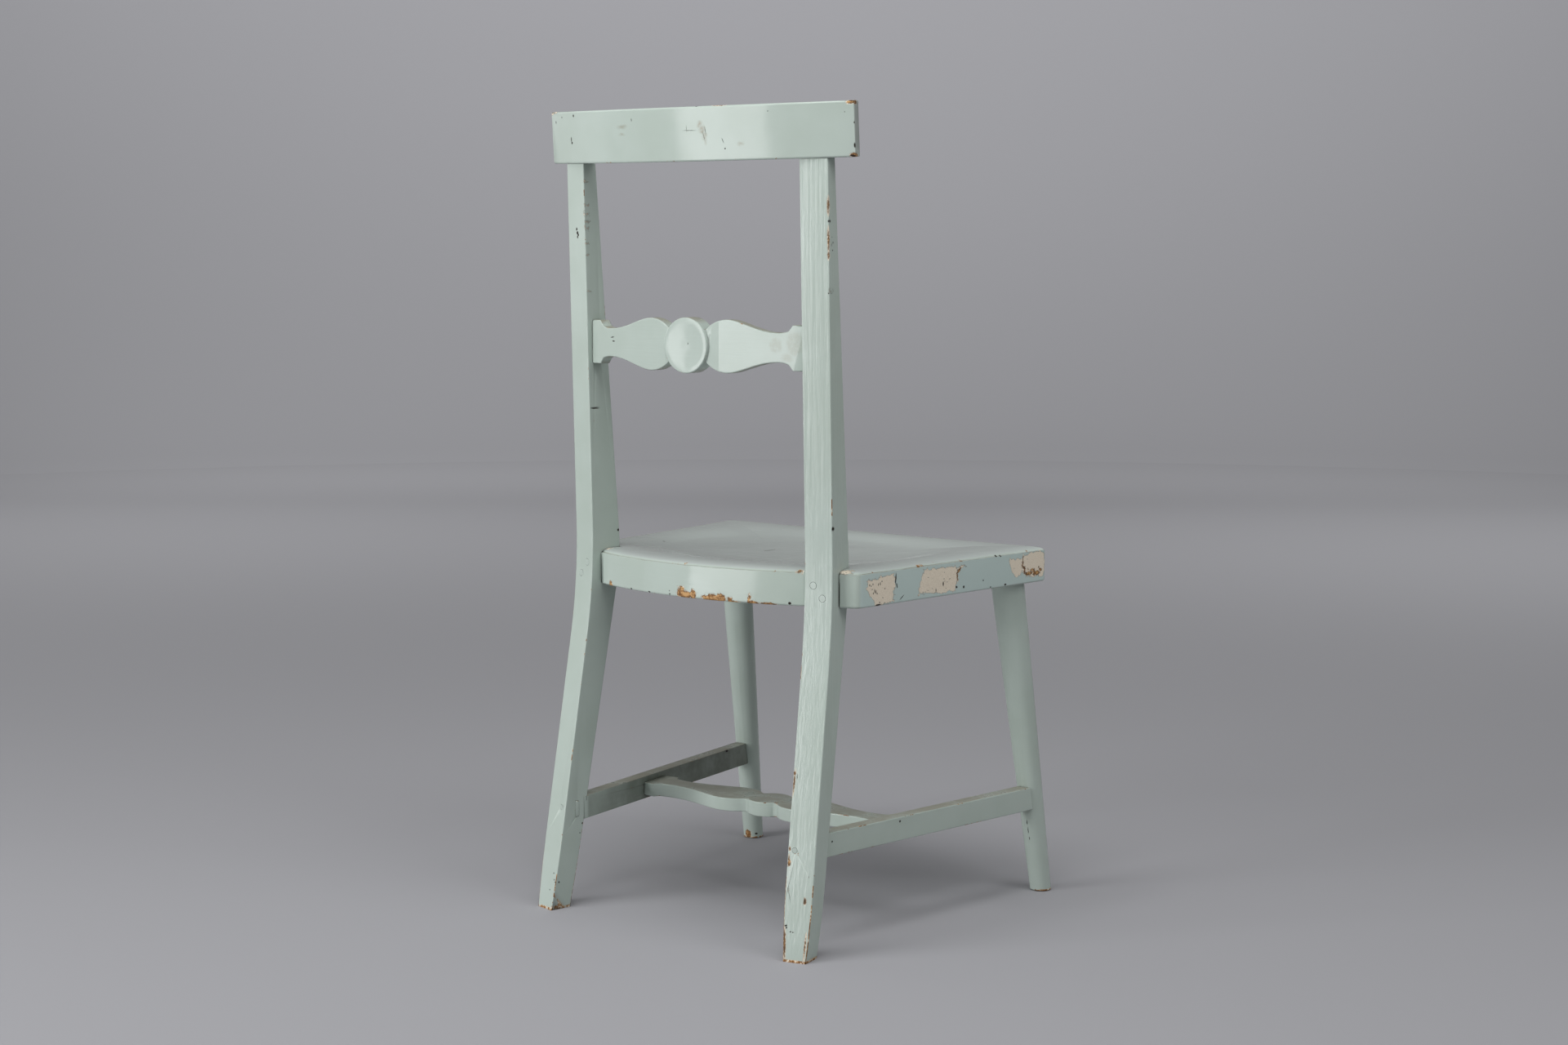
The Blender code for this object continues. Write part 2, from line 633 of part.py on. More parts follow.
def turned(name, side, levels):
    """Model a turned piece on a front leg's axis from (height, radius) pairs."""
    rings = []
    for z, radius in levels:
        centre = leg_point(side, z)
        rings.append([centre + radius * Vector((math.cos(math.tau * k / ROUND_SIDES),
                                                math.sin(math.tau * k / ROUND_SIDES), 0))
                      for k in range(ROUND_SIDES)])
    return add_object(name, loft(rings))


def leg_blank(name, side, grow=0.0):
    """Model a front leg with its round tenon, larger all round by grow."""
    shoulder = SEAT_BOTTOM - GAP
    levels = [(0, leg_radius(0) - LEG_FOOT_EASE + grow), (LEG_FOOT_EASE, leg_radius(LEG_FOOT_EASE) + grow),
              (shoulder, leg_radius(shoulder) + grow), (shoulder, LEG_TENON_RADIUS + grow),
              (SEAT_BOTTOM + LEG_TENON_LENGTH + grow, LEG_TENON_RADIUS + grow)]
    return turned(name, side, levels)


# Stretchers


def stretcher_ends(side):
    """Return the middles of a side stretcher at the post and at the leg."""
    z = STRETCHER_TOP - STRETCHER_HEIGHT / 2
    inner = -POST_WIDTH / 2 + STRETCHER_REAR_INSET
    middle = inner + STRETCHER_THICKNESS / 2
    rear = post_point(side, z, post_front(z), middle)
    front = leg_point(side, z) + Vector((side * STRETCHER_LEG_OFFSET, 0, 0))
    return rear, front


def stretcher_frame(side):
    """Return the start of a side stretcher, its direction to the front and its outward direction."""
    rear, front = stretcher_ends(side)
    along = (front - rear).normalized()
    outward = Vector((-along.y, along.x, 0)).normalized() * side
    return rear, along, outward


def stretcher_bar(name, side, start, end, thickness, height, ease):
    """Model a straight bar on a side stretcher's line, from start to end along it."""
    rear, along, outward = stretcher_frame(side)
    section = eased_box(thickness / 2, height / 2, ease)
    rings = [[rear + along * reach + outward * a + Vector((0, 0, b)) for a, b in section]
             for reach in (start, end)]
    return add_object(name, loft(rings))


def stretcher_length(side):
    """Return the distance between the two ends of a side stretcher."""
    rear, front = stretcher_ends(side)
    return (front - rear).length


def stretcher_tenon(name, side, grow=0.0):
    """Model the tenon that enters the post, larger all round by grow."""
    return stretcher_bar(name, side, -STRETCHER_TENON_LENGTH - grow, STRETCHER_TENON_LENGTH,
                         STRETCHER_TENON_THICKNESS + 2 * grow, STRETCHER_TENON_HEIGHT + 2 * grow, EASE)


def stretcher_dowel(name, side, grow=0.0):
    """Model the round end that enters the leg, larger all round by grow."""
    rear, along, outward = stretcher_frame(side)
    length = stretcher_length(side)
    depth = leg_radius(STRETCHER_TOP)
    start = rear + along * (length - depth - STRETCHER_DOWEL_ROOT)
    end = rear + along * (length - depth + STRETCHER_DOWEL_LENGTH + grow)
    return rod(name, start, end, STRETCHER_DOWEL_RADIUS + grow)


def rod(name, start, end, radius):
    """Model a round rod between two points."""
    axis = (end - start).normalized()
    across = axis.cross(Vector((0, 0, 1))).normalized()
    upright = across.cross(axis)
    rings = []
    for centre in (start, end):
        rings.append([centre + radius * (across * math.cos(math.tau * k / PEG_SIDES)
                                         + upright * math.sin(math.tau * k / PEG_SIDES))
                      for k in range(PEG_SIDES)])
    return add_object(name, loft(rings))


def side_stretcher(name, side):
    """Model a side stretcher: tenoned into the post, coped and dowelled into the leg."""
    bar = stretcher_bar(name, side, -STRETCHER_SCRIBE, stretcher_length(side), STRETCHER_THICKNESS,
                        STRETCHER_HEIGHT, EASE)
    combine(bar, post_blank("shoulder", side, GAP), "DIFFERENCE")
    combine(bar, leg_blank("cope", side, GAP), "DIFFERENCE")
    combine(bar, stretcher_tenon("tenon", side), "UNION")
    combine(bar, stretcher_dowel("dowel", side), "UNION")
    return bar


def cross_place():
    """Return the frame of the cross stretcher, laid flat: its depth runs upwards."""
    return Matrix.Translation(Vector((0, CROSS_Y, CROSS_TOP))) @ Matrix.Rotation(math.pi / 2, 4, "X")


def cross_shoulder(side):
    """Return where the cross stretcher's middle line meets a side stretcher's inner face."""
    rear, along, outward = stretcher_frame(side)
    share = (CROSS_Y - rear.y) / along.y
    return rear + along * share - outward * STRETCHER_THICKNESS / 2


def cross_tenon(name, side, grow=0.0):
    """Model the tenon of the cross stretcher, larger all round by grow."""
    shoulder = cross_shoulder(side)
    section = eased_box(CROSS_TENON_WIDTH / 2 + grow, CROSS_TENON_THICKNESS / 2 + grow, EASE)
    z = CROSS_TOP - CROSS_THICKNESS / 2
    rings = []
    for reach in (-CROSS_TENON_LENGTH, CROSS_TENON_LENGTH + grow):
        rings.append([Vector((shoulder.x + side * reach, CROSS_Y + a, z + b)) for a, b in section])
    return add_object(name, loft(rings))


def cross_stretcher():
    """Model the cross stretcher, shouldered against both side stretchers."""
    end_x = abs(cross_shoulder(1).x) + STRETCHER_THICKNESS / 2
    outline = bat_outline(CROSS_CREST_X, CROSS_CREST, CROSS_SHOULDER, CROSS_NECK_X, CROSS_NECK, CROSS_COVE_X,
                          CROSS_COVE_RISE, CROSS_COLLAR_X, CROSS_COLLAR, end_x)
    place = cross_place()
    rail = bat_rail("cross_stretcher", outline, CROSS_THICKNESS, None, place)
    disc = rail_disc(CROSS_DISC_RADIUS, -CROSS_THICKNESS - CROSS_DISC_PROUD, CROSS_DISC_PROUD, 0.0, place)
    combine(rail, disc, "UNION")
    for side in (-1, 1):
        shoulder = stretcher_bar("shoulder", side, 0, stretcher_length(side),
                                 STRETCHER_THICKNESS + 2 * GAP, STRETCHER_HEIGHT + 2 * GAP, EASE)
        combine(rail, shoulder, "DIFFERENCE")
        combine(rail, cross_tenon("tenon", side), "UNION")
    return rail


# Pegs and pins


def post_peg(name, side, z, outward, radius, length, grow=0.0):
    """Model a peg driven in from a post's rear face, larger all round by grow."""
    to_rear, to_side = post_directions(side)
    head = post_point(side, z, post_rear(z) + PEG_SHOW + HOLE_RUN_OUT * grow, outward)
    tip = post_point(side, z, post_rear(z) - length - grow, outward)
    return rod(name, head, tip, radius + grow)


def build_chair():
    """Model every piece and cut the joints between them."""
    clear_scene()
    paints = {
        "rear_post": paint("post_paint", REAR_PAINT),
        "rail": paint("rail_paint", RAIL_PAINT, 0.34),
        "seat": paint("seat_paint", SEAT_PAINT, 0.36),
        "leg": paint("leg_paint", LEG_PAINT),
        "stretcher": paint("stretcher_paint", SIDE_PAINT, 0.45),
        "peg": paint("peg_paint", REAR_PAINT, 0.4),
    }
    pieces = []
    names = {1: "left", -1: "right"}

    rail = top_rail()
    middle = mid_rail()
    cross = cross_stretcher()
    seat = seat_blank()
    finish(rail, paints["rail"])
    pieces += [rail, middle, cross, seat]

    for side, word in names.items():
        post = post_blank("rear_post_" + word, side)
        leg = leg_blank("front_leg_" + word, side)
        stretcher = side_stretcher("side_stretcher_" + word, side)
        combine(post, head_tenon("tenon", side), "UNION")
        combine(post, mid_tenon("mortise", side, GAP), "DIFFERENCE")
        combine(post, stretcher_tenon("mortise", side, GAP), "DIFFERENCE")
        combine(leg, stretcher_dowel("socket", side, GAP), "DIFFERENCE")
        combine(stretcher, cross_tenon("mortise", side, GAP), "DIFFERENCE")
        combine(seat, post_blank("notch", side, GAP), "DIFFERENCE")
        combine(seat, leg_blank("socket", side, GAP), "DIFFERENCE")

        pegs = (("seat_peg_upper_", PEG_UPPER_Z, -PEG_UPPER_IN), ("seat_peg_lower_", PEG_LOWER_Z, PEG_LOWER_OUT))
        for start, z, outward in pegs:
            peg = post_peg(start + word, side, z, outward, PEG_RADIUS, PEG_LENGTH)
            for target in (post, seat):
                combine(target, post_peg("hole", side, z, outward, PEG_RADIUS, PEG_LENGTH, GAP), "DIFFERENCE")
            finish(peg, paints["peg"])
            pieces.append(peg)
        pin = post_peg("stretcher_pin_" + word, side, PIN_Z, -PIN_IN, PIN_RADIUS, PIN_LENGTH)
        for target in (post, stretcher):
            combine(target, post_peg("hole", side, PIN_Z, -PIN_IN, PIN_RADIUS, PIN_LENGTH, GAP), "DIFFERENCE")
        finish(pin, paints["peg"])
        finish(post, paints["rear_post"])
        finish(leg, paints["leg"])
        finish(stretcher, paints["stretcher"])
        pieces += [pin, post, leg, stretcher]

    finish(middle, paints["rail"])
    finish(cross, paints["stretcher"])
    finish(seat, paints["seat"])
    centre_on_floor(pieces)


def centre_on_floor(pieces):
    """Hang every piece on one frame whose origin is at the middle of the footprint."""
    low = min(v.co.y for piece in pieces for v in piece.data.vertices)
    high = max(v.co.y for piece in pieces for v in piece.data.vertices)
    frame = bpy.data.objects.new("chair", None)
    bpy.context.scene.collection.objects.link(frame)
    frame.location = (0, -(low + high) / 2, 0)
    for piece in pieces:
        piece.parent = frame


build_chair()
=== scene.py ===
"""Worn painted chair in a plain studio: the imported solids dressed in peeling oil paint.

The chair stands at rest on the floor, facing -Y. Everything is in metres, except the lists of marks, which
are in millimetres.
"""

from dataclasses import dataclass
import math

import bmesh
import bpy
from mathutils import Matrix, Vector


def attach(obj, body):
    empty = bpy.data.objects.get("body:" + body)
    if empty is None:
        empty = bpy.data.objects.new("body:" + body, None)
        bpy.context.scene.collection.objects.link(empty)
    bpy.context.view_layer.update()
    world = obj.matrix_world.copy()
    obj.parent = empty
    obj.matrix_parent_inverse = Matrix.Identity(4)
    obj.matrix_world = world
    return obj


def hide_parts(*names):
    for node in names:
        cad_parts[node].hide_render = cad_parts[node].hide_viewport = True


bl_info = {
    "name": "Worn painted chair",
    "version": (1, 0, 0),
    "blender": (4, 5, 0),
    "location": "View3D > Sidebar > Chair",
    "description": "Dresses a wooden chair in chipped and peeling oil paint and lights it",
    "category": "Object",
}

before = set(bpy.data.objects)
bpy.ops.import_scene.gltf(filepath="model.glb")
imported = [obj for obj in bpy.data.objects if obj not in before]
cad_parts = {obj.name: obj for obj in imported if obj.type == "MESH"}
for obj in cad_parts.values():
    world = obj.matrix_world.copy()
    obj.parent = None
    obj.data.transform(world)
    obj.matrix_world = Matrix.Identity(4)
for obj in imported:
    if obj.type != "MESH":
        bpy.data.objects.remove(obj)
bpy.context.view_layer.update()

BODY = "root"

# Colours that the sidebar shows
PAINT = (0.475, 0.550, 0.505, 1.0)
PAINT_COOL = (0.500, 0.605, 0.580, 1.0)
PAINT_SHADE = (0.400, 0.470, 0.415, 1.0)
UNDERCOAT = (0.800, 0.720, 0.590, 1.0)
BARE_WOOD = (0.560, 0.330, 0.140, 1.0)
PIT = (0.022, 0.016, 0.012, 1.0)
DUST = (0.285, 0.265, 0.205, 1.0)
FLOOR = (0.375, 0.375, 0.397, 1.0)
WHITE = (1.0, 1.0, 1.0, 1.0)

# Colours of the finer wear. The soil of the left stretcher and the grime in crevices also paint shade
# Soil that also stands in as painted shade under the seat, darkest on the left stretcher's inner face
GRIME_AND_SHADE = (0.095, 0.105, 0.075, 1.0)
WORN_TOP = (0.450, 0.490, 0.480, 1.0)
SMUDGE = (0.330, 0.330, 0.265, 1.0)
SPECK = (0.100, 0.085, 0.060, 1.0)
UNDERCOAT_STREAK = (0.560, 0.470, 0.350, 1.0)
WOOD_STREAK = (0.200, 0.090, 0.030, 1.0)
WOOD_RIM = (0.115, 0.060, 0.025, 1.0)
EDGE_LINE = (0.150, 0.120, 0.080, 1.0)
# Grime and painted shade where ambient occlusion finds crevices and joints
CREVICE_GRIME_AND_SHADE = (0.040, 0.034, 0.024, 1.0)

PAINT_IOR = 1.34
MATT = 0.9
FAINT_SHEEN = 0.1

# Heights of the paint's relief
STROKE_HEIGHT = 0.00012
WAVE_HEIGHT = 0.00022
CHIP_DEPTH = 0.0003

# Noise: the number of clouds in a metre
CLOUDS = 11.0
PATCHES = 26.0
DUST_CLOUDS = 34.0
WAVES = 38.0
RAGS = 240.0

SHARP_ANGLE = math.radians(38.0)
PEG_SHARP = math.radians(5.0)
MERGE = 0.00001

SIDEWAYS = (1.0, 0.0, 0.0)
REARWARD = (0.0, 1.0, 0.0)
UP = (0.0, 0.0, 1.0)

# The rear posts are turned by this about the vertical
POST_TURN = math.radians(11.5)

# Brush strokes run along a piece: each grain is the number of strokes in a metre along X, Y and Z
ACROSS = (9.0, 300.0, 300.0)
UPRIGHT = (300.0, 300.0, 10.0)
LENGTHWAYS = (300.0, 11.0, 300.0)

# The peeled plates lie on the seat's right side, where x is below this
PLATE_SIDE = -0.15

# Camera
CAMERA_PLACE = (-1.8539, 2.3566, 0.7781)
CAMERA_TURN = math.radians(218.248)
CAMERA_FALL = math.radians(6.339)
CAMERA_LENS = 59.34
CAMERA_SENSOR = 36.0

# Backdrop: it rises from the floor in a quarter circle
BACKDROP_CURVE = 2.5
BACKDROP_HEIGHT = 9.0
CURVE_STEPS = 12
SHEET_STEPS = 96

# Lamps: the name, the setting of the brightness, the place, the point aimed at, the width, the height and the
# spread in degrees
LAMPS = (
    ("tall_light", "tall_light", (1.19, 2.84, 1.12), (0.0, 0.05, 1.12), 1.41, 2.2, 180.0),
    ("left_light", "left_light", (2.9, 0.78, 1.3), (0.0, 0.0, 0.5), 1.5, 1.8, 180.0),
    ("right_light", "right_light", (-2.6, 0.2, 2.3), (0.0, 0.1, 0.5), 1.7, 1.7, 180.0),
    ("top_light", "top_light", (-0.34, 0.80, 2.7), (0.0, 0.0, 0.4), 1.5, 1.5, 180.0),
    ("back_light", "back_light", (2.2, -2.6, 3.4), (4.9, -6.2, 4.25), 5.6, 3.0, 160.0),
    ("far_light_left", "far_light", (3.85, -2.05, 2.6), (3.85, -2.05, 0.0), 2.6, 2.6, 115.0),
    ("far_light_right", "far_light", (0.6, -4.05, 2.6), (0.6, -4.05, 0.0), 2.6, 2.6, 115.0))


def settings():
    """Return the scene's chair settings."""
    return bpy.context.scene.worn_chair


def colour_property(name, description, default):
    """Declare a colour that the sidebar shows."""
    return bpy.props.FloatVectorProperty(
        name=name, description=description, subtype="COLOR", size=4, min=0.0, max=1.0, default=default)


def brightness_property(name, description, default):
    return bpy.props.FloatProperty(name=name, description=description, min=0.0, default=default)


class PaintSettings(bpy.types.PropertyGroup):
    """Colours and gloss of the paint and of what shows under it."""

    paint: colour_property("Paint", "Top coat of oil paint", PAINT)
    paint_cool: colour_property("Cool paint", "Bluer top coat on the sides of the seat", PAINT_COOL)
    paint_shade: colour_property("Aged paint", "Darker tone in the clouds of the top coat", PAINT_SHADE)
    undercoat: colour_property("Undercoat", "Cream coat where the top coat has peeled", UNDERCOAT)
    bare_wood: colour_property("Bare wood", "Wood where all paint is gone", BARE_WOOD)
    pit: colour_property("Pits", "Bottom of pits, nicks and open joints", PIT)
    dust: colour_property("Dust", "Dust and scuffs on faces that look up", DUST)
    roughness: bpy.props.FloatProperty(
        name="Roughness", description="Roughness of sound paint", default=0.11, min=0.02, max=1.0,
        subtype="FACTOR")


class StageSettings(bpy.types.PropertyGroup):
    """Floor, backdrop and lamps."""

    floor: colour_property("Floor", "Colour of the floor and the backdrop", FLOOR)
    radius: bpy.props.FloatProperty(
        name="Floor radius", description="Distance from the chair to where the backdrop rises", default=6.0,
        min=3.0, unit="LENGTH")
    ambient: brightness_property("Ambient", "Brightness of the even light from all round", 0.22)
    tall_light: brightness_property("Tall light", "Brightness of the tall soft light behind the chair", 4.75)
    left_light: brightness_property("Left light", "Brightness of the soft light on the left", 0.4)
    right_light: brightness_property("Right light", "Brightness of the high soft light on the right", 1.85)
    top_light: brightness_property("Top light", "Brightness of the soft light overhead", 3.8)
    back_light: brightness_property("Backdrop light", "Brightness of the soft light on the backdrop", 3.15)
    far_light: brightness_property("Far light", "Brightness of the soft lights over the far floor", 0.73)


class ChairSettings(bpy.types.PropertyGroup):
    """Everything that a user would change."""

    paint: bpy.props.PointerProperty(type=PaintSettings, name="Paint", description="Paint and wear")
    stage: bpy.props.PointerProperty(type=StageSettings, name="Stage", description="Floor and lamps")


class Finish:
    """The node tree of one finish, measured in the chair's own metres."""

    def __init__(self, name, seed=0.0):
        self.material = bpy.data.materials.new(name)
        self.material.use_nodes = True
        self.tree = self.material.node_tree
        self.shader = self.tree.nodes["Principled BSDF"]
        self.place = self.add("ShaderNodeTexCoord").outputs["Object"]
        self.normal = self.add("ShaderNodeNewGeometry").outputs["Normal"]
        self.field = self.vector("ADD", self.place, (seed, 0.7 * seed, 1.3 * seed))

    def add(self, kind, **options):
        """Add a node and set its options."""
        node = self.tree.nodes.new(kind)
        for key, value in options.items():
            setattr(node, key, value)
        return node

    def feed(self, socket, value):
        """Link a socket, or set it."""
        if isinstance(value, bpy.types.NodeSocket):
            self.tree.links.new(value, socket)
        else:
            socket.default_value = value

    def math(self, operation, *values, clamp=False):
        """Combine numbers."""
        node = self.add("ShaderNodeMath", operation=operation, use_clamp=clamp)
        for socket, value in zip(node.inputs, values):
            self.feed(socket, value)
        return node.outputs[0]

    def vector(self, operation, *values, output="Vector"):
        """Combine vectors."""
        node = self.add("ShaderNodeVectorMath", operation=operation)
        for socket, value in zip(node.inputs, values):
            self.feed(socket, value)
        return node.outputs[output]

    def noise(self, scale, detail=2.0, roughness=0.55, stretch=None, output="Fac"):
        """Return a cloudy field from 0 to 1, with a number of clouds in a metre, or one along each axis."""
        node = self.add("ShaderNodeTexNoise")
        place = self.vector("MULTIPLY", self.field, stretch) if stretch else self.field
        self.feed(node.inputs["Vector"], place)
        node.inputs["Scale"].default_value = scale
        node.inputs["Detail"].default_value = detail
        node.inputs["Roughness"].default_value = roughness
        return node.outputs[output]

    def spots(self, scale, radius, share):
        """Return a mask of small spots in a share of the cells of a grid of random points."""
        node = self.add("ShaderNodeTexVoronoi", feature="F1")
        self.feed(node.inputs["Vector"], self.field)
        node.inputs["Scale"].default_value = scale
        chosen = self.add("ShaderNodeSeparateColor")
        self.feed(chosen.inputs[0], node.outputs["Color"])
        reach = self.math("MULTIPLY", self.step(chosen.outputs[0], 1.0 - share, 1.0), radius * scale)
        return self.step(self.math("SUBTRACT", reach, node.outputs["Distance"]), 0.0, 0.08 * radius * scale)

    def step(self, value, low, high, start=0.0, end=1.0):
        """Return a smooth step from start to end as a value goes from low to high."""
        node = self.add("ShaderNodeMapRange", interpolation_type="SMOOTHSTEP")
        self.feed(node.inputs["Value"], value)
        for name, number in (("From Min", low), ("From Max", high), ("To Min", start), ("To Max", end)):
            node.inputs[name].default_value = number
        return node.outputs["Result"]

    def mix(self, share, first, second):
        """Blend two colours."""
        node = self.add("ShaderNodeMix", data_type="RGBA")
        self.feed(node.inputs[0], share)
        self.feed(node.inputs[6], first)
        self.feed(node.inputs[7], second)
        return node.outputs[2]

    def most(self, first, second):
        """Return the larger of two masks."""
        return self.math("MAXIMUM", first, second)

    def torn(self, amount, scale):
        """Return the place with a ragged shift, for torn edges."""
        shift = self.noise(scale, 3.0, 0.65, output="Color")
        moved = self.vector("MULTIPLY_ADD", shift, (2 * amount,) * 3, (-amount,) * 3)
        return self.vector("ADD", self.place, moved)

    def beyond(self, direction, distance, place=None):
        """Return how far a point lies beyond a plane."""
        along = self.vector("DOT_PRODUCT", place or self.place, direction, output="Value")
        return self.math("SUBTRACT", along, distance)

    def along(self, direction):
        """Return how nearly the surface faces along a direction, either way."""
        return self.math("ABSOLUTE", self.vector("DOT_PRODUCT", self.normal, direction, output="Value"))

    def arris(self, first, second=None):
        """Return how far the surface is turned from the nearest of its two kinds of face.

        Without a second direction, the other faces are all those at right angles to the first.
        """
        one = self.along(first)
        if second:
            other = self.along(second)
        else:
            other = self.math("SQRT", self.math("SUBTRACT", 1.0, self.math("MULTIPLY", one, one), clamp=True))
        return self.math("SUBTRACT", 1.0, self.most(one, other))

    def oval(self, place, centre, radii, turn):
        """Return the rough distance outside an oval."""
        if any(turn):
            node = self.add("ShaderNodeMapping", vector_type="TEXTURE")
            self.feed(node.inputs["Vector"], place)
            node.inputs["Location"].default_value = centre
            node.inputs["Rotation"].default_value = turn
            node.inputs["Scale"].default_value = radii
            unit = node.outputs[0]
        else:
            unit = self.vector("MULTIPLY_ADD", place, tuple(1 / r for r in radii),
                               tuple(-c / r for c, r in zip(centre, radii)))
        reach = min(radii)
        return self.math("MULTIPLY_ADD", self.vector("LENGTH", unit, output="Value"), reach, -reach)

    def plate(self, place, corners):
        """Return the distance outside a convex plate: corners are (y, z) pairs in millimetres, clockwise."""
        result = None
        for (y0, z0), (y1, z1) in zip(corners, corners[1:] + corners[:1]):
            length = math.hypot(y1 - y0, z1 - z0)
            out = (0.0, (z0 - z1) / length, (y1 - y0) / length)
            field = self.beyond(out, (out[1] * y0 + out[2] * z0) / 1000.0, place)
            result = field if result is None else self.math("MAXIMUM", result, field)
        return result

    def nearest(self, place, ovals, plates=()):
        """Return the distance outside the nearest of many marks."""
        result = None
        for corners in plates:
            field = self.plate(place, corners)
            result = field if result is None else self.math("MINIMUM", result, field)
        if result is not None:
            result = self.math("MAXIMUM", result, self.beyond(SIDEWAYS, PLATE_SIDE))
        for oval in ovals:
            field = self.oval(place, *oval)
            result = field if result is None else self.math("MINIMUM", result, field)
        return result


def millimetres(*values):
    """Turn millimetres into metres."""
    return tuple(value / 1000.0 for value in values)


def mark(x, y, z, rx, rz, turn=0.0, depth=5.0):
    """Describe an oval mark by its middle and its two half sizes, in millimetres, turned in degrees."""
    return millimetres(x, y, z), millimetres(rx, depth, rz), (0.0, math.radians(turn), 0.0)


def side_mark(x, y, z, ry, rz, turn=0.0, depth=5.0):
    """Describe an oval mark on a face that looks sideways."""
    return millimetres(x, y, z), millimetres(depth, ry, rz), (math.radians(turn), 0.0, 0.0)


@dataclass(frozen=True)
class Wear:
    """How one painted piece is brushed and worn. Marks are lists from mark() or side_mark()."""

    grain: tuple
    seed: float
    cream: tuple = ()  # marks down to the undercoat
    plates: tuple = ()  # peeled plates, also down to the undercoat
    wood: tuple = ()  # marks down to the wood
    dark: tuple = ()  # nicks and pits
    stains: tuple = ()
    stained: float = 0.75  # how strong the stains are
    faces: tuple = (UP,)  # directions that the arrises lie between
    scuffs: float = 0.5  # how much of the arrises is scuffed
    foot_wear: float = 0.0  # how much more of them is, towards the floor
    dust: float = 0.0
    # darkening that is soil and painted shade together
    soil_and_shade: float = 0.0
    cool_sides: bool = False
    worn_top: float = 0.0
    edge_line: float = 0.0  # height of the dark line round the seat's border
    stroke: float = 0.4  # how deep the brush strokes are
    slopes: tuple = ()
    rag: float = 0.0014  # how far the edges of the bare wood are torn


class Paint(Finish):
    """A worn oil paint."""

    def __init__(self, name, wear):
        super().__init__(name, wear.seed)
        self.wear = wear
        self.colours = settings().paint
        self.strokes = self.noise(1.0, 3.0, 0.55, stretch=wear.grain)
        self.grooved = self.noise(1.0, 3.0, 0.6, stretch=tuple(3.0 * number for number in wear.grain))
        self.cloud = self.noise(CLOUDS, 3.0)
        self.patchy = self.noise(PATCHES, 3.0, 0.65)
        self.ragged = self.noise(RAGS, 2.0, 0.65)
        self.upward = self.step(self.along(UP), 0.75, 0.97)
        self.settled = self.dusty() if wear.dust else 0.0
        scuffed = self.scuffed()
        self.cream = self.math("MULTIPLY", scuffed, 0.9)
        self.wood = self.math("MULTIPLY", scuffed, self.step(self.ragged, 0.40, 0.50))
        self.pits = 0.0
        self.chipped = 0.0
        self.wood_rim = 0.0
        self.add_marks()

    def dusty(self):
        """Return the mask of the dust, which lies in patches on the faces that look up."""
        dust = self.wear.dust
        patches = self.step(self.noise(DUST_CLOUDS, 3.0, 0.65), 0.25, 0.60, 0.35 * dust, dust)
        return self.math("MULTIPLY", self.upward, patches)

    def grimy_and_shaded(self):
        """Return the mask of the soil with painted shade, strongest on the faces turned to -X under the seat,
        faint on the outer face and near the rear post.
        """
        soil_and_shade = self.wear.soil_and_shade
        back = self.beyond(REARWARD, 0.0)
        # faces turned to -X, towards the shade under the seat, get the most painted shade
        rightward = self.vector("DOT_PRODUCT", self.normal, (-1.0, 0.0, 0.0), output="Value")
        fading = self.step(back, 0.170, 0.030, 0.50, 1.0)
        spread = self.math("MULTIPLY", self.step(back, 0.176, 0.170), fading)
        spread = self.math("MULTIPLY", self.step(rightward, -0.2, 0.5, 0.35, 1.0), spread)
        return self.math("MULTIPLY", self.step(self.patchy, 0.30, 0.65, 0.75 * soil_and_shade, soil_and_shade), spread)

    def stained(self):
        """Return the mask of the stains."""
        smudge = self.step(self.nearest(self.torn(0.003, 110.0), self.wear.stains), 0.0020, -0.0025, 0.0,
                           self.wear.stained)
        return self.math("MULTIPLY", smudge, self.step(self.ragged, 0.30, 0.60, 0.45, 1.0))

    def scuffed(self):
        """Return the mask of the damage along the eased arrises, where the normal turns between two faces."""
        rub = self.math("MULTIPLY_ADD", self.math("SUBTRACT", self.ragged, 0.5), 0.5, self.patchy)
        arris = self.step(self.arris(*self.wear.faces), 0.03, 0.10)
        if self.wear.foot_wear:
            height = self.beyond(UP, 0.0)
            rub = self.math("ADD", rub, self.step(height, 0.115, 0.004, 0.0, self.wear.foot_wear))
            arris = self.most(arris, self.step(height, 0.0034, 0.0022))
        share = 0.12 * self.wear.scuffs
        return self.math("MULTIPLY", arris, self.step(rub, 0.69 - share, 0.71 - share))

    def add_marks(self):
        """Add the measured marks to the masks."""
        if self.wear.cream or self.wear.plates:
            field = self.nearest(self.torn(0.0065, 150.0), self.wear.cream, self.wear.plates)
            peeled = self.step(field, 0.0003, -0.0002)
            rim = self.step(self.math("ABSOLUTE", field), 0.0006, 0.0001)
            holes = self.spots(330.0, 0.00062, 0.30)
            holes = self.math("MULTIPLY", holes, self.step(self.patchy, 0.46, 0.53))
            self.chipped = peeled
            self.cream = self.most(self.cream, peeled)
            self.pits = self.most(self.math("MULTIPLY", peeled, holes), self.math("MULTIPLY", rim, 0.45))
        if self.wear.wood:
            field = self.nearest(self.torn(self.wear.rag, 320.0), self.wear.wood)
            chip = self.step(field, 0.0010, 0.0006)
            self.chipped = self.most(self.chipped, chip)
            self.cream = self.most(self.cream, chip)
            self.wood = self.most(self.wood, self.step(field, 0.0003, -0.0001))
            rim = self.step(self.math("ABSOLUTE", field), 0.0008, 0.0002, 0.0, 0.85)
            self.wood_rim = self.math("MULTIPLY", rim, self.step(self.ragged, 0.38, 0.46))
        if self.wear.dark:
            nicks = self.step(self.nearest(self.torn(0.0007, 620.0), self.wear.dark), 0.0003, -0.0002)
            self.chipped = self.most(self.chipped, nicks)
            self.pits = self.most(self.pits, nicks)

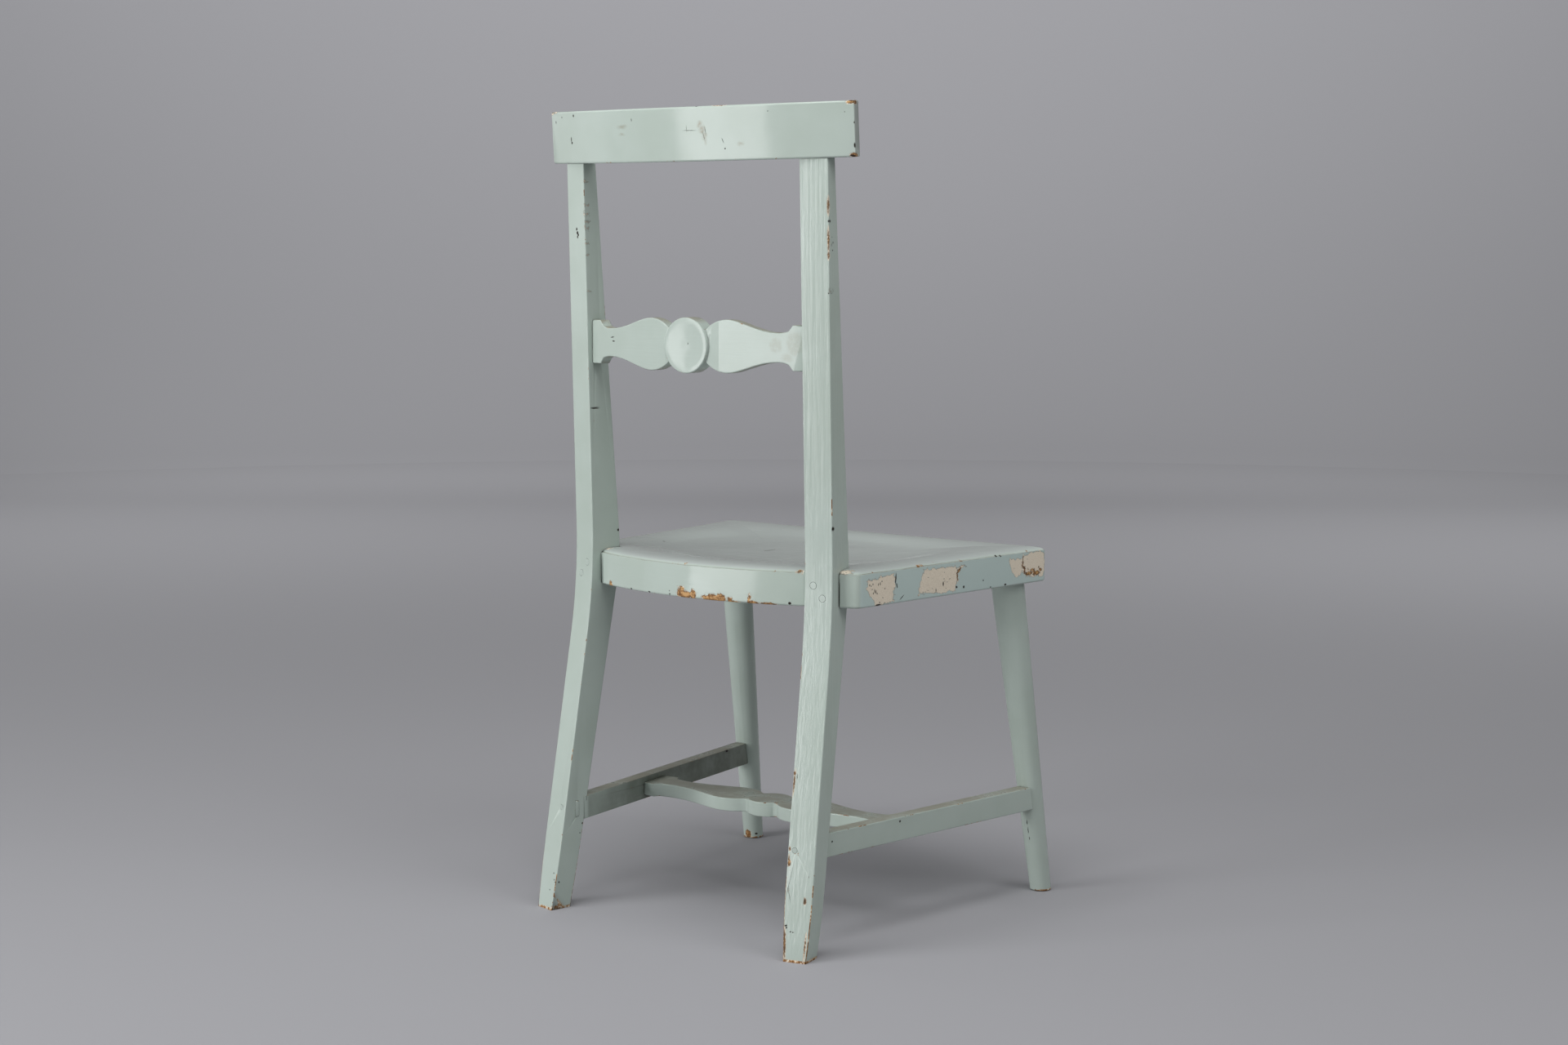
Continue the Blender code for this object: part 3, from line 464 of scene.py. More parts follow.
    def edge_line(self):
        """Return the mask of the dark line that runs round the upright faces of the seat's border."""
        height = self.beyond(UP, self.wear.edge_line, self.torn(0.0005, 60.0))
        line = self.step(self.math("ABSOLUTE", height), 0.0007, 0.0002, 0.0, 0.7)
        upright = self.step(self.along(UP), 0.85, 0.70)
        broken = self.step(self.patchy, 0.36, 0.50, 0.4, 1.0)
        return self.math("MULTIPLY", line, self.math("MULTIPLY", upright, broken))

    def top_coat(self):
        """Return the colour of the paint with what lies on it."""
        wear, colours = self.wear, self.colours
        aged = self.step(self.cloud, 0.35, 0.70, 0.0, 0.45)
        shade = self.mix(aged, tuple(colours.paint), tuple(colours.paint_shade))
        if wear.cool_sides:
            shade = self.mix(self.step(self.along(SIDEWAYS), 0.80, 0.97), shade, tuple(colours.paint_cool))
        # soil mixed with painted shade
        if wear.soil_and_shade:
            shade = self.mix(self.grimy_and_shaded(), shade, GRIME_AND_SHADE)
        if wear.worn_top:
            shade = self.mix(self.math("MULTIPLY", self.upward, wear.worn_top), shade, WORN_TOP)
        if wear.dust:
            shade = self.mix(self.settled, shade, tuple(colours.dust))
        if wear.stains:
            shade = self.mix(self.stained(), shade, SMUDGE)
        specks = self.spots(40.0, 0.0007, 0.10 * wear.scuffs)
        return self.mix(self.math("MULTIPLY", specks, 0.7), shade, SPECK)

    def colour(self):
        """Return the colour of the whole surface: paint, undercoat, wood, pits, and grime with painted shade
        in the crevices.
        """
        colours = self.colours
        streaks = self.step(self.grooved, 0.40, 0.75, 0.0, 0.5)
        under = self.mix(streaks, tuple(colours.undercoat), UNDERCOAT_STREAK)
        fibres = self.math("MULTIPLY_ADD", self.ragged, 0.6, self.math("MULTIPLY", self.grooved, 0.4))
        bare = self.mix(self.step(fibres, 0.42, 0.60), tuple(colours.bare_wood), WOOD_STREAK)
        shade = self.mix(self.cream, self.top_coat(), under)
        shade = self.mix(self.wood, shade, bare)
        if self.wear.wood:
            shade = self.mix(self.wood_rim, shade, WOOD_RIM)
        if self.wear.edge_line:
            shade = self.mix(self.edge_line(), shade, EDGE_LINE)
        shade = self.mix(self.pits, shade, tuple(colours.pit))
        # Painted shade with grime: darker within 4 mm of nearby surfaces, in crevices, joints and corners
        crevice_shade = self.add("ShaderNodeAmbientOcclusion", samples=4)
        crevice_shade.inputs["Distance"].default_value = 0.004
        return self.mix(self.step(crevice_shade.outputs["AO"], 0.50, 0.15, 0.0, 0.75), shade, CREVICE_GRIME_AND_SHADE)

    def roughness(self):
        """Return the roughness: glossy paint in soft clouds, duller dust and matt damage."""
        sound = self.colours.roughness
        gloss = self.step(self.cloud, 0.35, 0.65, sound - 0.03, sound + 0.05)
        gloss = self.math("ADD", gloss, self.math("MULTIPLY", self.settled, 0.35))
        damaged = self.most(self.most(self.cream, self.wood), self.pits)
        return self.math("MULTIPLY_ADD", damaged, 0.5, gloss, clamp=True)

    def relief(self):
        """Return the height of the surface: brush strokes, waves, chips and the slopes of the shine."""
        height = self.math("MULTIPLY", self.strokes, STROKE_HEIGHT * self.wear.stroke)
        height = self.math("MULTIPLY_ADD", self.noise(WAVES, 1.0), WAVE_HEIGHT, height)
        height = self.math("MULTIPLY_ADD", self.chipped, -CHIP_DEPTH, height)
        for direction, low, high, slope in self.wear.slopes:
            across = self.math("MINIMUM", self.math("MAXIMUM", self.beyond(direction, 0.0), low), high)
            height = self.math("MULTIPLY_ADD", across, slope, height)
        return height


def painted(name, wear):
    """Make a worn oil paint."""
    paint = Paint(name, wear)
    paint.feed(paint.shader.inputs["Base Color"], paint.colour())
    paint.feed(paint.shader.inputs["Roughness"], paint.roughness())
    paint.shader.inputs["IOR"].default_value = PAINT_IOR
    bump = paint.add("ShaderNodeBump")
    bump.inputs["Strength"].default_value = 1.0
    bump.inputs["Distance"].default_value = 1.0
    paint.feed(bump.inputs["Height"], paint.relief())
    paint.feed(paint.shader.inputs["Normal"], bump.outputs[0])
    return paint.material


def plain_paint(name):
    """Make the sound paint of the pegs' small heads."""
    colours = settings().paint
    finish = Finish(name)
    aged = finish.step(finish.noise(300.0), 0.35, 0.70, 0.0, 0.4)
    shade = finish.mix(aged, tuple(colours.paint), tuple(colours.paint_shade))
    finish.feed(finish.shader.inputs["Base Color"], shade)
    finish.shader.inputs["Roughness"].default_value = colours.roughness + 0.1
    return finish.material


def dress(node, material, sharp=SHARP_ANGLE):
    """Stand a merged, smoothly shaded copy of a solid in its place and paint it."""
    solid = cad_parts[node]
    bm = bmesh.new()
    bm.from_mesh(solid.data)
    bmesh.ops.remove_doubles(bm, verts=bm.verts[:], dist=MERGE)
    mesh = bpy.data.meshes.new("painted_" + node)
    bm.to_mesh(mesh)
    bm.free()
    mesh.shade_smooth()
    mesh.set_sharp_from_angle(angle=sharp)
    piece = bpy.data.objects.new("painted_" + node, mesh)
    bpy.context.scene.collection.objects.link(piece)
    weighted = piece.modifiers.new("weighted", "WEIGHTED_NORMAL")
    weighted.keep_sharp = True
    mesh.materials.append(material)
    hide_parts(node)
    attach(piece, BODY)
    return piece


# Top rail
RAIL_DARK = [
    mark(165.7, 180, 912.7, 1.2, 1.5), mark(172.2, 176.4, 886.5, 0.7, 2.6),
    mark(171.2, 176.8, 882.6, 1.2, 1.3), mark(191.8, 171, 911.9, 0.6, 0.7),
    mark(58.7, 201.8, 904.4, 0.4, 1.4), mark(206.5, 165.0, 907, 0.8, 1.5), mark(-36, 203.9, 917.0, 1.8, 1.2),
    mark(-26.4, 203.6, 890.9, 3.6, 0.12), mark(-22.4, 203.6, 892.6, 0.12, 1.6),
    mark(-47.6, 202.2, 890.5, 0.15, 2.2, 12), mark(-45.2, 202.0, 884.8, 0.15, 2.6, 14),
    mark(-124.7, 191, 909.2, 0.4, 0.6), mark(-69.5, 199, 879.4, 0.25, 1.9, 25),
    mark(-72.2, 198.2, 870.7, 0.6, 0.6), mark(-216, 158, 872.2, 0.6, 2.4), mark(-216.2, 156, 896.0, 0.8, 1.6),
    mark(-216.2, 153, 905.0, 0.6, 0.6), mark(-216.0, 150, 880.0, 0.9, 1.3),
    mark(-213.7, 159.5, 861.6, 2.6, 1.0), mark(-207.0, 160.0, 907.0, 0.7, 1.1),
    mark(171.0, 174.0, 856.5, 1.8, 1.0, depth=9)]
RAIL_CREAM = [
    mark(207.2, 164.9, 918.6, 5.0, 1.6), mark(213.0, 162.0, 917.2, 2.4, 2.4)]
RAIL_STAINS = [
    mark(-40.6, 202.9, 897.4, 3.0, 3.6, -20), mark(-43.6, 202.4, 891.4, 3.6, 4.4, -22),
    mark(-46.4, 201.9, 884.6, 3.0, 4.2, -10), mark(-48.0, 201.6, 878.8, 1.4, 3.0, 4),
    mark(75.0, 200, 897.5, 5.5, 1.6), mark(75.5, 200, 889.0, 2.6, 0.9), mark(-92.0, 197.5, 875.0, 2.6, 1.6)]
RAIL_WOOD = [
    mark(-65.8, 201.3, 917.4, 6.0, 0.9), mark(-213.0, 160.0, 917.2, 3.6, 1.8, depth=9),
    mark(-214.8, 156.0, 862.2, 3.2, 1.8, depth=9), mark(170.0, 176.0, 857.4, 3.4, 0.7, depth=9)]

# Left rear post
LEFT_POST_DARK = [
    mark(171.0, 170.2, 785.2, 1.3, 1.5), mark(169.7, 170.5, 781.0, 1.7, 1.8, 30),
    mark(168.0, 171, 778.8, 1.1, 1.2), mark(169.6, 170.6, 776.4, 1.0, 1.6),
    mark(153.4, 161.2, 581.5, 1.6, 0.5, depth=7), mark(153.6, 160.0, 580.4, 1.2, 0.45, depth=7),
    side_mark(148.1, 128.6, 437.4, 1.3, 1.5), side_mark(159.5, 182.1, 97.6, 0.9, 1.0),
    side_mark(160.2, 185.6, 86.5, 0.6, 0.7), side_mark(168.2, 219.5, 33.0, 0.8, 0.9),
    mark(171.2, 218.1, 35.1, 0.7, 0.9), side_mark(168.4, 214.6, 32.4, 0.9, 1.1),
    mark(173.4, 217.1, 42.5, 0.7, 0.8), mark(178.0, 216.1, 22.5, 0.6, 0.8)]
LEFT_POST_CREAM = [
    mark(155.6, 174.9, 839.3, 0.8, 1.5), mark(155.2, 173.7, 812.5, 0.7, 1.3),
    mark(155.2, 173.4, 802.5, 0.7, 2.2), mark(155.1, 173.2, 794.0, 0.6, 1.6),
    mark(155.1, 172.8, 786.2, 0.6, 2.6), mark(155.0, 172.3, 768.0, 0.7, 1.0),
    mark(155.0, 172.0, 756.0, 0.6, 1.4), mark(154.9, 171.6, 715.0, 0.6, 1.2)]
LEFT_POST_WOOD = [
    mark(171.4, 222.0, 2.0, 1.0, 1.2, depth=1.0)]

# Right rear post
RIGHT_POST_WOOD = [
    mark(-186.9, 166.4, 809.3, 0.3, 3.0, depth=0.8), mark(-186.8, 166.0, 772.4, 0.35, 5.0, depth=0.8),
    mark(-186.7, 165.9, 757.0, 0.3, 1.5, depth=0.8), mark(-162.9, 193.6, 200.0, 1.0, 1.5),
    mark(-163.2, 194.6, 190.5, 0.5, 6.0), mark(-165.8, 204.8, 119.6, 0.5, 1.0),
    mark(-166.9, 207.1, 104.9, 1.3, 2.6), mark(-165.9, 206.5, 108.9, 0.5, 2.1),
    mark(-189.3, 208.7, 66.2, 1.0, 2.4), mark(-171.2, 219.6, 16.0, 1.0, 13.0, 6, depth=3),
    mark(-194.6, 214.6, 14.0, 0.5, 8.0, depth=2)]
RIGHT_POST_CREAM = [
    mark(-189.3, 208.7, 66.2, 1.5, 3.2), mark(-165.9, 207.5, 101.9, 1.6, 1.2, 30),
    mark(-186.4, 164.9, 719, 0.4, 1.2), mark(-169.4, 211.0, 75.0, 0.3, 1.8)]
RIGHT_POST_DARK = [
    mark(-189.1, 208.7, 67.0, 0.5, 1.8), mark(-171.0, 212.2, 70.4, 0.12, 3.2, 16),
    mark(-169.2, 211.2, 82.4, 0.08, 6.0, -8), mark(-170.4, 217.8, 38.2, 1.6, 0.8, 20),
    mark(-171.4, 217.8, 36.2, 0.8, 1.0), mark(-176.2, 217.2, 32.3, 0.8, 0.6),
    mark(-179.2, 216.6, 32.0, 0.6, 0.6), mark(-172.2, 219.6, 14.0, 0.3, 1.0),
    side_mark(-186.2, 158.3, 776.4, 0.5, 0.5), side_mark(-186.3, 156.1, 770.5, 0.7, 1.1),
    side_mark(-186.2, 159.3, 768.4, 0.4, 1.4), side_mark(-186.3, 157.1, 762.5, 0.7, 0.7),
    mark(-186.9, 165.4, 793.0, 0.3, 1.2), mark(-186.4, 164.7, 717, 0.5, 0.7),
    mark(-187.0, 157.8, 464.5, 0.5, 2.0), mark(-166.0, 193.2, 196.5, 0.3, 2.4),
    mark(-186.4, 205.0, 152.0, 0.2, 0.8), mark(-190.6, 205.0, 132.0, 0.2, 0.8),
    mark(-191.0, 207.0, 92.0, 0.2, 1.0)]

# Mid rail. Each slope tilts the paint's shine: a direction, where it starts and ends along it in metres,
# and how steep it is
MID_DARK = [
    mark(117.8, 169.9, 663.4, 2.4, 0.5, 8), mark(115.8, 170.1, 659.0, 1.8, 0.6, -4),
    mark(-3.8, 181.2, 659.5, 0.5, 0.9)]
MID_STAINS = [
    mark(-119.0, 171.0, 660, 8.0, 8.0, depth=9), mark(-143.0, 168.0, 662.0, 11.0, 13.0, depth=9),
    mark(-133.0, 169.0, 647.0, 7.0, 5.0, depth=9)]
MID_SLOPES = [
    ((1.0, 0.0, 0.0), -1.0, 0.0493, 0.022), ((1.0, 0.0, 0.0), 0.0260, 0.0493, 0.018),
    ((1.0, 0.0, 0.0), -0.0445, -0.0290, -0.075)]

# Seat
SEAT_EDGE_LINE = 0.4137
SEAT_SCRATCH = (
    millimetres(22.9, 2.8, 411.0), millimetres(1.1, 10.5, 3.0), (0.0, 0.0, math.radians(-7.4)))
SEAT_WOOD = [
    mark(130.1, 161.9, 378.6, 3.0, 3.6), mark(-1.0, 184.1, 379.8, 9.0, 4.0),
    mark(3.8, 184.0, 384.5, 3.2, 4.8), mark(8.6, 184.0, 382.5, 1.6, 4.2), mark(-12.5, 183.7, 380.0, 3.6, 6.0),
    mark(-29.5, 182.6, 379.4, 4.4, 2.6), mark(-38.0, 182.0, 379.4, 7.5, 4.0),
    mark(-49.0, 181.2, 379.9, 6.6, 4.7), mark(-61.5, 178.8, 378.2, 2.8, 3.6),
    mark(-67.0, 178.0, 376.8, 5.0, 1.6), mark(-90.0, 173.9, 377.4, 5.4, 2.0),
    mark(-85.0, 174.5, 380.6, 1.3, 5.0, -8), mark(-107.8, 168.9, 377.0, 8.0, 1.6),
    mark(-141, 156.4, 414.4, 2.6, 1.1)]
SEAT_DARK = [
    mark(-131.5, 161.5, 379.4, 1.6, 1.5), mark(87.9, 174.1, 378.3, 1.2, 0.9),
    mark(55.5, 180.1, 378.2, 1.6, 0.8), mark(22.2, 183.4, 379.0, 0.9, 1.0),
    mark(22.6, 183.4, 382.6, 0.6, 0.6), side_mark(-212.4, 76.3, 404.5, 0.9, 5.6, 4),
    side_mark(-213.0, 74.5, 396.5, 0.8, 2.6, -14), side_mark(-220.6, -3, 390.9, 0.9, 2.4),
    side_mark(-222.9, -25.4, 385.1, 1.0, 1.3), side_mark(-224.2, -38.2, 383.9, 1.3, 1.6),
    side_mark(-227.8, -72.4, 388, 0.8, 0.8), side_mark(-229.1, -85.5, 379.2, 1.0, 0.7),
    side_mark(-231.8, -111.7, 379.5, 1.8, 1.0), side_mark(-228.7, -95.7, 413.9, 1.4, 1.1),
    side_mark(-230.6, -102.9, 413.3, 1.1, 1.2), side_mark(-213.2, 66, 382.7, 3.6, 0.4, -34),
    side_mark(-208.5, 104.5, 378.2, 4.0, 1.0), mark(-186.2, 144.1, 394.0, 0.35, 15.0, depth=0.8),
    mark(158.3, 35.8, 414.6, 2.2, 1.0, depth=1.4), SEAT_SCRATCH]

# Pits in the peeled plates, each with its middle and how tall it is, in millimetres
SEAT_PITS = [
    (-208.0, 118.5, 401.1, 0.9), (-208.3, 115.9, 399.9, 0.6), (-208.6, 113.3, 401.5, 0.8),
    (-209.4, 104.7, 400.6, 1.0), (-209.8, 101.5, 401.2, 1.3), (-210.1, 98.8, 403.6, 0.7),
    (-208.8, 110.6, 394.0, 1.7), (-209.0, 108.6, 392.9, 1.5), (-209.2, 106.7, 391.0, 0.9),
    (-208.4, 114.6, 396.2, 0.5), (-210.5, 94.1, 395.1, 0.6), (-208.6, 112.6, 391.6, 0.8),
    (-210.2, 97.4, 385.5, 0.6), (-209.7, 102.6, 380.7, 0.8), (-210.5, 94.7, 379.4, 0.7),
    (-219.3, 9.4, 384.9, 1.6), (-220.9, -5.7, 393.5, 0.4), (-221.3, -9.9, 392.2, 0.4),
    (-220.7, -4.3, 396.4, 0.4), (-221.7, -14.1, 395.5, 0.4), (-223.1, -26.8, 385.0, 0.9)]
PIT_REACH = 0.55
PIT_STRETCH = 1.2
SEAT_DARK += [side_mark(x, y, z, PIT_REACH, PIT_STRETCH * tall) for x, y, z, tall in SEAT_PITS]

# Peeled plates by their corners, as (y, z) in millimetres, clockwise
SEAT_PLATES = [
    [(121.2, 406.7), (123.7, 397.1), (109.9, 377.8), (80.1, 380.2), (77.5, 398.0), (78.9, 409.8)],
    [(28.9, 410.6), (39.6, 383.3), (-24.1, 380.6), (-27.5, 395.0), (-24.0, 408.7)],
    [(-118.0, 406.5), (-123.0, 397.0), (-129.0, 386.0), (-138.5, 387.5), (-146.5, 395.0), (-148.0, 406.5)],
    [(-139.0, 407.0), (-145.0, 390.0), (-150.0, 385.0), (-179.0, 383.0),
     (-183.0, 390.0), (-182.0, 411.0), (-157.0, 412.5)]]

SEAT_CREAM = [
    mark(-190.4, 137.0, 416.5, 8.0, 2.2, depth=7), mark(147.5, 145.0, 416.5, 2.5, 1.5, depth=4),
    side_mark(-224.5, -33.0, 406.5, 8.0, 1.7, -10), side_mark(-222.5, -24.5, 401.5, 3.0, 4.0)]
SEAT_SIDE_WOOD = [
    side_mark(-223.6, -29.8, 403.6, 3.6, 1.1, -34), side_mark(-222.9, -27.0, 397.5, 0.9, 3.6, -8),
    side_mark(-235.0, -142.6, 402.0, 0.7, 5.0, 12), side_mark(-235.4, -144.6, 396.5, 0.6, 2.4, -30),
    side_mark(-238.0, -163.0, 389.6, 2.0, 1.2), side_mark(-238.0, -172.0, 394.6, 1.2, 0.9),
    side_mark(-237.6, -152.6, 393.6, 1.0, 0.9), side_mark(-236.0, -146.6, 393.0, 1.2, 3.6),
    side_mark(-237.0, -154.0, 388.6, 6.0, 1.7), side_mark(-238.0, -168.0, 387.6, 6.0, 2.2),
    side_mark(-237.5, -160.0, 392.2, 3.2, 1.1), side_mark(-238.5, -176.0, 391.0, 2.4, 1.6)]
SEAT_SLOPES = [(UP, 0.0, 0.413, -0.04)]

# Front legs
LEFT_LEG_WOOD = [
    mark(219.3, -198.1, 6.5, 3.6, 5.0)]
LEFT_LEG_DARK = [
    mark(210, -203.5, 6.6, 1.0, 1.2)]
RIGHT_LEG_DARK = [
    mark(-217.9, -185.4, 86, 0.4, 2.4), mark(-218.6, -185.8, 76, 0.4, 3.0), mark(-219.4, -187, 66, 0.4, 1.6)]

# Side stretchers
LEFT_STRETCHER_DARK = [
    side_mark(200.9, -133, 127.7, 3.0, 1.3)]
RIGHT_STRETCHER_DARK = [
    side_mark(-194.4, 41.2, 124.5, 1.3, 1.3), side_mark(-179.7, 147.6, 118.8, 1.0, 1.0)]


class ChairOperator:
    """What the chair's operators share."""

    bl_options = {"REGISTER", "UNDO"}


class CHAIR_OT_top_rail(ChairOperator, bpy.types.Operator):
    """Paint the bowed top rail, with its chipped corners and leaf-shaped stain."""

    bl_idname = "chair.top_rail"
    bl_label = "Top rail"

    def execute(self, context):
        wear = Wear(ACROSS, 3.1, cream=RAIL_CREAM, wood=RAIL_WOOD, dark=RAIL_DARK, stains=RAIL_STAINS,
                    stained=1.0, scuffs=0.3, stroke=0.5)
        dress("top_rail", painted("top_rail_paint", wear))
        return {"FINISHED"}


class CHAIR_OT_mid_rail(ChairOperator, bpy.types.Operator):
    """Paint the bat-and-disc mid rail."""

    bl_idname = "chair.mid_rail"
    bl_label = "Mid rail"

    def execute(self, context):
        wear = Wear(ACROSS, 5.7, dark=MID_DARK, stains=MID_STAINS, stained=0.35, faces=(REARWARD,),
                    scuffs=0.2, dust=0.8, stroke=1.2, slopes=MID_SLOPES)
        dress("mid_rail", painted("mid_rail_paint", wear))
        return {"FINISHED"}


class CHAIR_OT_cross_stretcher(ChairOperator, bpy.types.Operator):
    """Paint the cross stretcher, dusty on top."""

    bl_idname = "chair.cross_stretcher"
    bl_label = "Cross stretcher"

    def execute(self, context):
        wear = Wear(ACROSS, 8.3, dust=0.75, stroke=0.7)
        dress("cross_stretcher", painted("cross_stretcher_paint", wear))
        return {"FINISHED"}


class CHAIR_OT_seat(ChairOperator, bpy.types.Operator):
    """Paint the plank seat, peeled on its right side and worn to wood along its rear edge."""

    bl_idname = "chair.seat"
    bl_label = "Seat"

    def execute(self, context):
        wear = Wear(ACROSS, 1.9, cream=SEAT_CREAM, plates=SEAT_PLATES, wood=SEAT_WOOD + SEAT_SIDE_WOOD,
                    dark=SEAT_DARK, scuffs=0.1, cool_sides=True, worn_top=0.8, edge_line=SEAT_EDGE_LINE,
                    stroke=0.8, slopes=SEAT_SLOPES, rag=0.0036)
        dress("seat", painted("seat_paint", wear))
        return {"FINISHED"}


class CHAIR_OT_rear_posts(ChairOperator, bpy.types.Operator):
    """Paint the two rear posts, worn to wood at the feet and along their edges."""

    bl_idname = "chair.rear_posts"
    bl_label = "Rear posts"

    def execute(self, context):
        for side, outward, wear in (
                ("left", 1, dict(seed=11.3, cream=LEFT_POST_CREAM, wood=LEFT_POST_WOOD, dark=LEFT_POST_DARK,
                                 foot_wear=0.26, stroke=0.8)),
                ("right", -1, dict(seed=14.9, cream=RIGHT_POST_CREAM, wood=RIGHT_POST_WOOD,
                                   dark=RIGHT_POST_DARK, foot_wear=0.42, stroke=2.6))):
            faces = ((outward * math.sin(POST_TURN), math.cos(POST_TURN), 0.0),
                     (outward * math.cos(POST_TURN), -math.sin(POST_TURN), 0.0))
            finish = painted(f"rear_post_{side}_paint", Wear(UPRIGHT, faces=faces, scuffs=0.3, **wear))
            dress("rear_post_" + side, finish)
        return {"FINISHED"}


class CHAIR_OT_front_legs(ChairOperator, bpy.types.Operator):
    """Paint the two turned front legs."""

    bl_idname = "chair.front_legs"
    bl_label = "Front legs"

    def execute(self, context):
        for side, seed, wood, dark in (("left", 17.1, LEFT_LEG_WOOD, LEFT_LEG_DARK),
                                       ("right", 21.7, (), RIGHT_LEG_DARK)):
            wear = Wear(UPRIGHT, seed, wood=wood, dark=dark, scuffs=0.4, foot_wear=0.16, stroke=0.6)
            dress("front_leg_" + side, painted(f"front_leg_{side}_paint", wear))
        return {"FINISHED"}


class CHAIR_OT_side_stretchers(ChairOperator, bpy.types.Operator):
    """Paint the two side stretchers, dusty on top. The left one is darkened with soil and painted shade, most
    on its inner face.
    """

    bl_idname = "chair.side_stretchers"
    bl_label = "Side stretchers"

    def execute(self, context):
        for side, seed, dark, soil_and_shade in (("left", 25.3, LEFT_STRETCHER_DARK, 0.85),
                                       ("right", 28.9, RIGHT_STRETCHER_DARK, 0.0)):
            wear = Wear(LENGTHWAYS, seed, dark=dark, scuffs=0.8, dust=0.8, soil_and_shade=soil_and_shade, stroke=0.6)
            dress("side_stretcher_" + side, painted(f"side_stretcher_{side}_paint", wear))
        return {"FINISHED"}


class CHAIR_OT_pegs(ChairOperator, bpy.types.Operator):
    """Paint the heads of the pegs and pins."""

    bl_idname = "chair.pegs"
    bl_label = "Pegs and pins"

    def execute(self, context):
        finish = plain_paint("peg_head_paint")
        for node in sorted(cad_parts):
            if "peg" in node or "pin" in node:
                dress(node, finish, PEG_SHARP)
        return {"FINISHED"}


def soft_light(name, place, aim, width, height, spread, brightness):
    """Hang a rectangular soft light. It sends light within the spread, an angle in degrees."""
    lamp = bpy.data.lights.new(name, "AREA")
    lamp.shape = "RECTANGLE"
    lamp.size = width
    lamp.size_y = height
    lamp.spread = math.radians(spread)
    lamp.energy = 4.0 * brightness * width * height
    obj = bpy.data.objects.new(name, lamp)
    obj.location = place
    obj.rotation_euler = (Vector(aim) - Vector(place)).to_track_quat("-Z", "Y").to_euler()
    obj.visible_camera = False
    bpy.context.scene.collection.objects.link(obj)


def add_camera(scene):
    """Set up the camera at the photograph's angle."""
    lens = bpy.data.cameras.new("camera")
    lens.lens = CAMERA_LENS
    lens.sensor_width = CAMERA_SENSOR
    camera = bpy.data.objects.new("camera", lens)
    scene.collection.objects.link(camera)
    level = math.cos(CAMERA_FALL)
    ahead = Vector((-math.sin(CAMERA_TURN) * level, math.cos(CAMERA_TURN) * level, -math.sin(CAMERA_FALL)))
    camera.location = CAMERA_PLACE
    camera.rotation_euler = ahead.to_track_quat("-Z", "Y").to_euler()
    scene.camera = camera


def matt(name, colour):
    """Make the plain finish of the floor and the backdrop."""
    material = bpy.data.materials.new(name)
    material.use_nodes = True
    shader = material.node_tree.nodes["Principled BSDF"]
    shader.inputs["Base Color"].default_value = colour
    shader.inputs["Roughness"].default_value = MATT
    shader.inputs["Specular IOR Level"].default_value = FAINT_SHEEN
    return material


def turned_sheet(name, profile, material):
    """Spin a profile of (radius, height) pairs about the vertical through the origin."""
    bm = bmesh.new()
    verts = [bm.verts.new((radius, 0.0, height)) for radius, height in profile]
    edges = [bm.edges.new(pair) for pair in zip(verts, verts[1:])]
    bmesh.ops.spin(bm, geom=verts + edges, cent=(0, 0, 0), axis=(0, 0, 1), angle=math.tau, steps=SHEET_STEPS,
                   use_merge=True)
    bmesh.ops.remove_doubles(bm, verts=bm.verts[:], dist=MERGE)
    mesh = bpy.data.meshes.new(name)
    bm.to_mesh(mesh)
    bm.free()
    mesh.shade_smooth()
    mesh.materials.append(material)
    obj = bpy.data.objects.new(name, mesh)
    bpy.context.scene.collection.objects.link(obj)
    return obj


